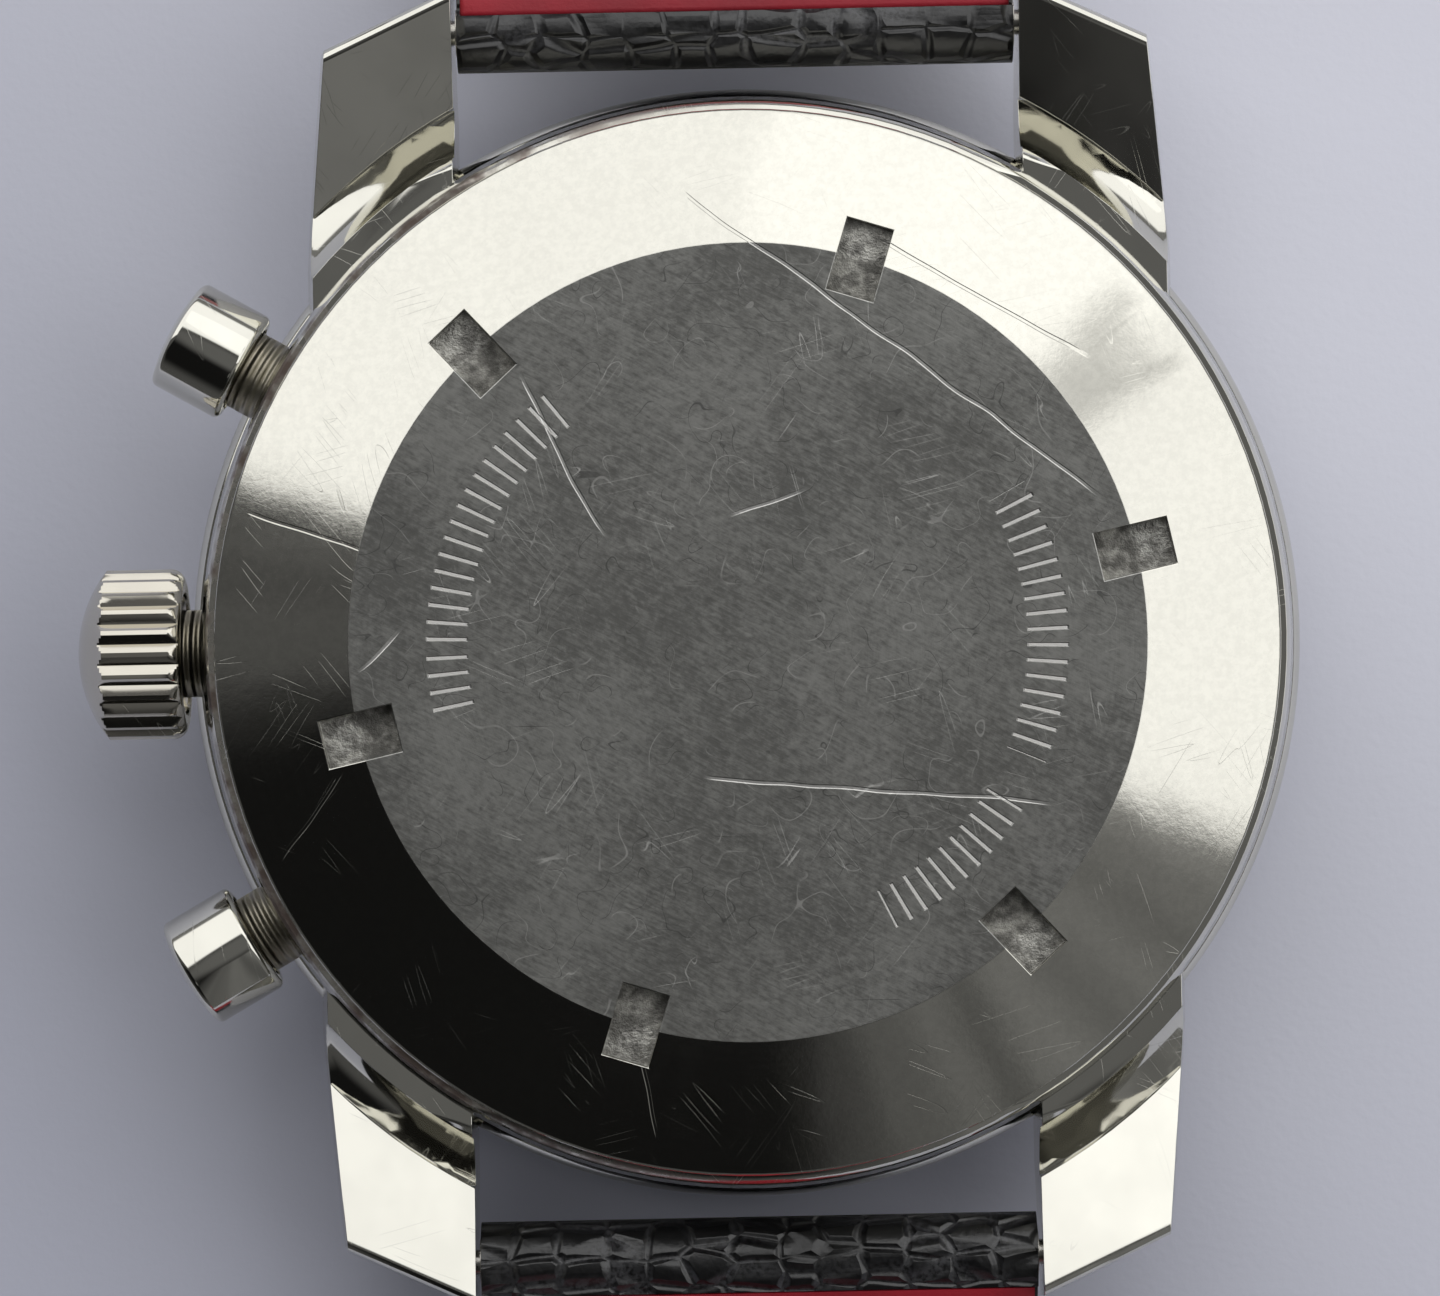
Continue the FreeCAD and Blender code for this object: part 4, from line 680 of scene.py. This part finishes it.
bezelSizes = {
    "back": 4.4, "front": 1.5, "radius": 18.05, "bore": 15.22, "shoulder": 0.72,
    "lip": 0.35, "brow": 17.1, "rise": 0.55, "drop": 1.45,
}
crownSizes = {
    "base": 18.0, "length": 3.45, "radius": 2.72, "shoulder": 2.3, "foot": 0.42, "dome": 0.95,
    "height": 6.9, "flutes": 24, "depth": 0.19, "grooveShare": 0.8,
}
pusherSizes = {
    "base": 18.3, "length": 2.65, "radius": 1.83, "neck": 1.42, "bore": 1.65, "dome": 0.2, "corner": 0.22,
    "stem": 0.5, "stemEnd": 13.75, "height": 7.6, "angle": 29.7,
}


def turned(name, profile, count, fill="NGON"):  # rings of (radius, height) drawn up one after another
    clearSelection()
    radius, height = profile[0]
    bpy.ops.mesh.primitive_circle_add(vertices=count, radius=radius * mm, fill_type=fill,
                                      location=(0, 0, height * mm))
    piece = fixPlace(bpy.context.object)
    piece.name = name
    bpy.ops.object.mode_set(mode="EDIT")
    bpy.ops.mesh.select_all(action="SELECT")
    for nextRadius, nextHeight in profile[1:]:
        bpy.ops.mesh.extrude_region_move(TRANSFORM_OT_translate={"value": (0, 0, (nextHeight - height) * mm)})
        share = nextRadius / radius
        bpy.ops.transform.resize(value=(share, share, 1), center_override=(0, 0, nextHeight * mm))
        radius, height = nextRadius, nextHeight
    bpy.ops.mesh.select_all(action="SELECT")
    bpy.ops.mesh.remove_doubles(threshold=0.0005 * mm)
    bpy.ops.mesh.normals_make_consistent(inside=False)
    bpy.ops.object.mode_set(mode="OBJECT")
    return piece


def domed(rim, end, rise, steps, least=0.02):  # rings over a shallow dome
    full = (rim * rim + rise * rise) / (2 * rise)
    reach = math.asin(rim / full)
    rings = []
    for k in range(1, steps + 1):
        turn = reach * (1 - k / steps)
        rings.append((max(full * math.sin(turn), least), end - full * (1 - math.cos(turn))))
    return rings


def outward(angle, height):  # turns a piece's Z outwards from the case axis, at an angle round it
    return (Matrix.Translation((0, 0, height * mm)) @ Matrix.Rotation(math.radians(angle), 4, "Z")
            @ Matrix.Rotation(math.pi / 2, 4, "Y"))


def makeBezel(steel):
    b = bezelSizes
    back, front, rim, bore, shoulder = b["back"], b["front"], b["radius"], b["bore"], b["shoulder"]
    lip, brow, rise, drop = b["lip"], b["brow"], b["rise"], b["drop"]
    profile = [(bore, back), (bore, front + 0.25), (bore + 0.08, front + 0.1), (bore + lip, front)]
    profile += [(bore + lip + (brow - bore - lip) * k / 4, front + rise * (k / 4) ** 1.6) for k in range(1, 5)]
    for k in range(1, 9):
        turn = k * math.pi / 16
        profile.append((brow + (rim - brow) * math.sin(turn), front + rise + drop * (1 - math.cos(turn))))
    for k in range(11):
        turn = k * math.pi / 20
        profile.append((rim - shoulder * (1 - math.cos(turn)), back - shoulder + shoulder * math.sin(turn)))
    profile += [(bore, back)]
    bezel = turned("bezelPiece", profile, 192, "NOTHING")
    dress(bezel, steel)
    smooth(bezel, 30)
    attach(bezel, "case")
    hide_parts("bezel")
    print("bezel made")


def makeCrown(steel):
    c = crownSizes
    base, end, rim, shoulder, foot = c["base"], c["base"] + c["length"], c["radius"], c["shoulder"], c["foot"]
    profile = [(1.5, base + 0.6), (1.9, base + 0.55), (1.95, base + 0.1), (2.0, base + 0.02)]
    profile.append((shoulder - 0.06, base))
    for k in range(9):
        turn = k * math.pi / 16
        profile.append((shoulder + (rim - shoulder) * math.sin(turn), base + foot * (1 - math.cos(turn))))
    top = end - c["dome"]
    profile += [(rim, base + foot + (top - base - foot) * k / 6) for k in range(1, 7)]
    profile += domed(rim, end, c["dome"], 26)

    crown = turned("crownPiece", profile, c["flutes"] * 10)
    for vertex in crown.data.vertices:  # V grooves between flat-topped ridges
        x, y, h = vertex.co
        r = math.hypot(x, y) / mm
        if h / mm < base + 0.03:
            continue
        place = math.atan2(y, x) / (2 * math.pi) * c["flutes"] % 1
        aside = round(abs(place - 0.5) * 2, 3)
        reach = rim - c["depth"] * max(1 - aside / c["grooveShare"], 0)
        if r > reach:
            vertex.co.x *= reach / r
            vertex.co.y *= reach / r
    crown.data.transform(outward(180, c["height"]))
    dress(crown, steel)
    smooth(crown, 24)
    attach(crown, "crown_group")
    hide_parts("crown")
    print("crown made")


def makePushers(steel):
    p = pusherSizes
    base, end, rim, neck = p["base"], p["base"] + p["length"], p["radius"], p["neck"]
    corner, stemRadius, stemEnd = p["corner"], p["stem"], p["stemEnd"]
    profile = [(stemRadius, base + p["bore"]), (neck, base + p["bore"])]
    profile += [(neck, base + 0.05), (neck + 0.05, base)]
    for k in range(7):
        turn = k * math.pi / 12
        profile.append((rim - corner + corner * math.sin(turn), base + corner * (1 - math.cos(turn))))
    shoulder = end - p["dome"]
    profile += [(rim, shoulder - corner)]
    for k in range(1, 8):
        turn = k * math.pi / 16
        profile.append((rim - corner * (1 - math.cos(turn)), shoulder - corner * (1 - math.sin(turn))))
    profile += domed(rim - corner + 0.04, end, p["dome"] - 0.01, 8)
    for name, angle in (("upper", 180 - p["angle"]), ("lower", 180 + p["angle"])):
        cap = turned(name + "PusherCap", profile, 96)
        rod = [(stemRadius - 0.1, stemEnd), (stemRadius, stemEnd + 0.1), (stemRadius, base + 1.9)]
        stem = turned(name + "PusherStem", rod, 32)
        cap = join([cap, stem], name + "PusherPiece")
        cap.data.transform(outward(angle, p["height"]))
        dress(cap, steel)
        smooth(cap, 35)
        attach(cap, f"pusher_{name}_group")
        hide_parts(f"pusher_{name}")
    print("push-pieces made")


markerSizes = {"reach": 12.1, "level": 3.3, "width": 0.55, "length": 2.3, "height": 0.24, "apart": 0.45}


def makeMarkers(steel):
    m = markerSizes
    made = []
    for hour in range(12):
        angle = math.radians(30 * hour)
        if hour in (3, 9):
            continue
        twin = (-m["apart"], m["apart"]) if hour == 0 else (0.0,)
        for offset in twin:
            bpy.ops.mesh.primitive_cube_add(size=1, location=(offset * mm, m["reach"] * mm, m["level"] * mm))
            baton = bpy.context.object
            baton.scale = (m["width"] * mm, m["length"] * mm, m["height"] * mm)
            fixPlace(baton)
            modify(baton, "BEVEL", width=0.1 * mm, segments=2)
            baton.data.transform(Matrix.Rotation(angle, 4, "Z"))
            made.append(baton)
    batons = join(made, "hourBatons")
    dress(batons, steel)
    smooth(batons)
    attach(batons, "case")
    print("hour batons made")


buckleSizes = {"windowHalf": 8.25, "windowEnd": 96.02, "corner": 2.2, "innerCorner": 0.9, "edge": 0.5}


def roundUpright(piece, radius, least):  # rounds the upright corners beyond a place along Y, in mm
    bpy.ops.object.mode_set(mode="EDIT")
    bpy.ops.mesh.select_mode(type="EDGE")
    bpy.ops.mesh.select_all(action="DESELECT")
    mesh = bmesh.from_edit_mesh(piece.data)
    for edge in mesh.edges:
        a, b = edge.verts[0].co, edge.verts[1].co
        edge.select = abs(a.z - b.z) > 0.5 * mm and a.y > least * mm
    bmesh.update_edit_mesh(piece.data)
    bpy.ops.mesh.bevel(offset=radius * mm, segments=8)
    bpy.ops.object.mode_set(mode="OBJECT")


def makeBuckle(steel):
    b = buckleSizes
    low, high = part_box("buckle_frame")
    centre, size = (low + high) / 2, high - low
    bpy.ops.mesh.primitive_cube_add(size=1, location=centre)
    buckle = bpy.context.object
    buckle.scale = size
    fixPlace(buckle)
    roundUpright(buckle, b["corner"], b["windowEnd"])
    start = low.y - 4 * mm
    bpy.ops.mesh.primitive_cube_add(size=1, location=(0, (start + b["windowEnd"] * mm) / 2, centre.z))
    window = bpy.context.object
    window.scale = (b["windowHalf"] * 2 * mm, b["windowEnd"] * mm - start, size.z * 2)
    fixPlace(window)
    roundUpright(window, b["innerCorner"], b["windowEnd"] - 1)
    modify(buckle, "BOOLEAN", operation="DIFFERENCE", object=window, solver="EXACT")
    bpy.data.objects.remove(window)
    modify(buckle, "BEVEL", width=b["edge"] * mm, segments=4, limit_method="ANGLE",
           angle_limit=math.radians(50))
    buckle.name = "buckleFramePiece"
    dress(buckle, steel)
    smooth(buckle, 30)
    modify(buckle, "WEIGHTED_NORMAL", keep_sharp=True, weight=80)
    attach(buckle, "buckle_group")
    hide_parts("buckle_frame")
    print("buckle frame made")


keeperSizes = {
    "roomLevel": 2.75, "roomWidth": 16.9, "roomHeight": 3.2, "outer": 0.9, "inner": 0.3, "edge": 0.14,
}


def makeKeeper(name, body, leather):
    k = keeperSizes
    low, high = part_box(name)
    centre, size = (low + high) / 2, high - low
    bpy.ops.mesh.primitive_cube_add(size=1, location=centre)
    keeper = bpy.context.object
    keeper.scale = size
    fixPlace(keeper)
    modify(keeper, "BEVEL", width=k["outer"] * mm, segments=4, limit_method="ANGLE")
    bpy.ops.mesh.primitive_cube_add(size=1, location=(0, centre.y, k["roomLevel"] * mm))
    room = bpy.context.object
    room.scale = (k["roomWidth"] * mm, size.y * 2, k["roomHeight"] * mm)
    fixPlace(room)
    modify(room, "BEVEL", width=k["inner"] * mm, segments=2, limit_method="ANGLE")
    modify(keeper, "BOOLEAN", operation="DIFFERENCE", object=room, solver="EXACT")
    bpy.data.objects.remove(room)
    modify(keeper, "BEVEL", width=k["edge"] * mm, segments=2, limit_method="ANGLE",
           angle_limit=math.radians(60))
    keeper.name = name + "Loop"
    dress(keeper, leather)
    smooth(keeper, 40)
    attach(keeper, body)
    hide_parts(name)


viewSizes = {"centre": (-0.87, -0.16), "distance": 210.8, "lens": 158.7, "roll": 1.16}
tableSizes = {"size": 3, "under": 0.00002}  # in metres


def makeStage():
    bpy.ops.mesh.primitive_plane_add(size=tableSizes["size"], location=(0, 0, -tableSizes["under"]))
    floor = fixPlace(bpy.context.object)
    floor.name = "tableTop"
    paper = Finish("paleTable", Specular_IOR_Level=0.2)
    # painted shading: the table colour runs from darker towards -X and -Y to lighter towards +X and +Y, and
    # fades to an even tone far from the watch
    paintedShading = (paper.x + paper.y + paper.noise(scale=0.02, detail=2.0) * 16.0).step(-45.0, 60.0)
    paintedShading = (paintedShading - 0.6) * paper.radius().step(150.0, 30.0) + 0.6
    fibre = paper.noise(scale=3.0, detail=3.0)
    paper.feed(Base_Color=paper.blend(paintedShading, (0.56, 0.575, 0.68), (0.88, 0.89, 1.0)),
               Roughness=fibre * 0.1 + 0.7)
    paper.bump(fibre, 0.01)
    dress(floor, paper.material)


class Sky(Finish):  # the same sums on the directions of the surround
    def __init__(self, name):
        world = bpy.data.worlds.new(name)
        bpy.context.scene.world = world
        world.use_nodes = True
        self.tree = world.node_tree
        self.shader = self.tree.nodes["Background"]
        self.place = self.add("ShaderNodeTexCoord")
        parts = self.tree.nodes.new("ShaderNodeSeparateXYZ")
        self.tree.links.new(self.place.socket, parts.inputs[0])
        self.x, self.y, self.z = (Wire(self, parts.outputs[k]) for k in range(3))


# a broad soft light over the +Y side of the room, dim low down on the other side, and dark straight overhead
lightSizes = {
    "strength": 1.34, "middle": 69, "half": 90, "soft": 4, "start": (17, 21), "low": (79, 83),
    "notch": (37, 3, 4, 38, 3, 4, 0.55), "patch": (-101, 7, 5, 28, 3, 3, 0.19),
    "overhead": 0.13, "sideGlow": ((-43, 19, 26, 0.21), (173, 6, 14, 0.11)), "roomGlow": 0.07,
    "fillSize": 0.5, "fillPower": 0.12, "fillPlace": (0.25, 0.45, 0.6),
}


def makeLights():
    sky = Sky("studio")
    turn = sky.angle()
    fromTop = sky.z.math("ARCCOSINE") * (180 / math.pi)
    size = lightSizes
    ripple = sky.noise(sky.join(turn * 0.09, 0.0, 0.0), 1.0, 3.0, 0.7)
    bright = turn.nearTurn(float(size["middle"]), float(size["half"]), float(size["soft"])) * size["strength"]
    bright = bright * (1 - fromTop.step(*size["low"]) * 0.85) * (ripple * 0.12 + 0.94)
    spots = []
    for place in ("notch", "patch"):
        middle, half, soft, height, spread, fade, strength = size[place]
        spots.append(turn.nearTurn(float(middle), float(half), float(soft))
                     * fromTop.near(float(height), float(spread), float(fade)) * strength)
    bright = bright * (1 - spots[0])
    for middle, half, soft, strength in size["sideGlow"]:
        glow = turn.nearTurn(float(middle), float(half), float(soft)) * strength
        glow = glow * (ripple.step(0.30, 0.62) * 0.7 + 0.3)
        bright = bright.math("MAXIMUM", glow)
    light = bright * fromTop.step(*size["start"]) + spots[1]
    light = light.math("MAXIMUM", fromTop.step(24, 9) * size["overhead"])
    light = light.math("MAXIMUM", fromTop.step(56, 80) * size["roomGlow"])
    sky.tree.links.new((light + 0.008).socket, sky.shader.inputs["Strength"])
    sky.shader.inputs["Color"].default_value = (1.0, 1.0, 1.0, 1)
    lamp = bpy.data.lights.new("softFill", "AREA")
    lamp.shape, lamp.size, lamp.energy = "DISK", size["fillSize"], size["fillPower"]
    fill = bpy.data.objects.new("softFill", lamp)
    bpy.context.scene.collection.objects.link(fill)
    fill.location = size["fillPlace"]
    fill.rotation_euler = fill.location.to_track_quat("Z", "Y").to_euler()


def makeCamera():
    v = viewSizes
    lens = bpy.data.cameras.new("view")
    lens.lens, lens.sensor_width = v["lens"], 36
    lens.clip_start, lens.clip_end = 0.01, 20
    piece = bpy.data.objects.new("view", lens)
    bpy.context.scene.collection.objects.link(piece)
    piece.location = (v["centre"][0] * mm, v["centre"][1] * mm, v["distance"] * mm)
    piece.rotation_euler = (0, 0, math.radians(-v["roll"]))
    bpy.context.scene.camera = piece


polished = polishedSteel()
satin = satinSteel("satinSteel")
threaded = satinSteel("threadedSteel", (0.40, 0.37, 0.30), 0.34, threads=0.32)
black = scaleLeather("scaleLeather")
red = plainLeather("redLining", (0.42, 0.014, 0.030), (0.24, 0.010, 0.020), 0.04)
smoothBlack = plainLeather("keeperLeather", (0.012, 0.012, 0.013), (0.006, 0.006, 0.006), 0.06, 0.45)
thread = dull("thread", (0.02, 0.02, 0.02))
nickel = brushedMetal("nickelPlate", (0.66, 0.63, 0.55), turn=0.5)
gilt = brushedMetal("gilt", (0.78, 0.56, 0.26))
grey = brushedMetal("polishedArbor", (0.62, 0.62, 0.62), 0.2)
rubber = dull("gasketRubber", (0.02, 0.02, 0.02))
hands = blueSteel()
finishes = {
    "crystal": clearCrystal(), "dial": dialPaint(), "back_gasket": rubber, "crown_gasket": rubber,
    "case_tubes": threaded, "spring_bars": satin, "winding_stem": satin, "pusher_springs": satin,
    "buckle_bar": polished, "balance_wheel": gilt,
}
for node in ("hour_hand", "minute_hand", "sweep_hand", "small_seconds_hand", "minute_counter_hand"):
    finishes[node] = hands
classes = {m["slot"]: m["class"] for m in frame["record"]["materials"]}
plated = ("main_plate", "barrel_bridge", "train_bridge", "balance_cock", "pallet_cock", "chronograph_bridge")
for node, piece in nodes.items():
    default = nickel if node in plated else gilt if classes[node] == "brass" else grey
    dress(piece, finishes.get(node, default))

caseSteel = polishedSteel("caseSteel", grooveLineRadius=16.98)
softened("case_middle", "casePiece", caseSteel, 0.06, creaseAngle=22, tipBevel=0.38)
softened("case_back", "caseBackPiece", caseBackSteel(), 0.06, angle=20, creaseAngle=13, flatten=False)
softened("buckle_tongue", "buckleTonguePiece", polished, 0.2, 3)
print("case, back and tongue made")
makeBezel(polished)
makeCrown(polishedSteel("crownSteel", (0.60, 0.57, 0.50), 0.1))
makePushers(polishedSteel("pusherSteel", rough=0.05))
makeMarkers(polished)
makeBuckle(polished)
makeStrap(black, red, thread)
makeKeeper("fixed_keeper", "buckle_half", smoothBlack)
makeKeeper("free_keeper", "free_keeper_group", smoothBlack)
makeStage()
makeLights()
makeCamera()
bpy.context.scene.view_settings.view_transform = "Standard"
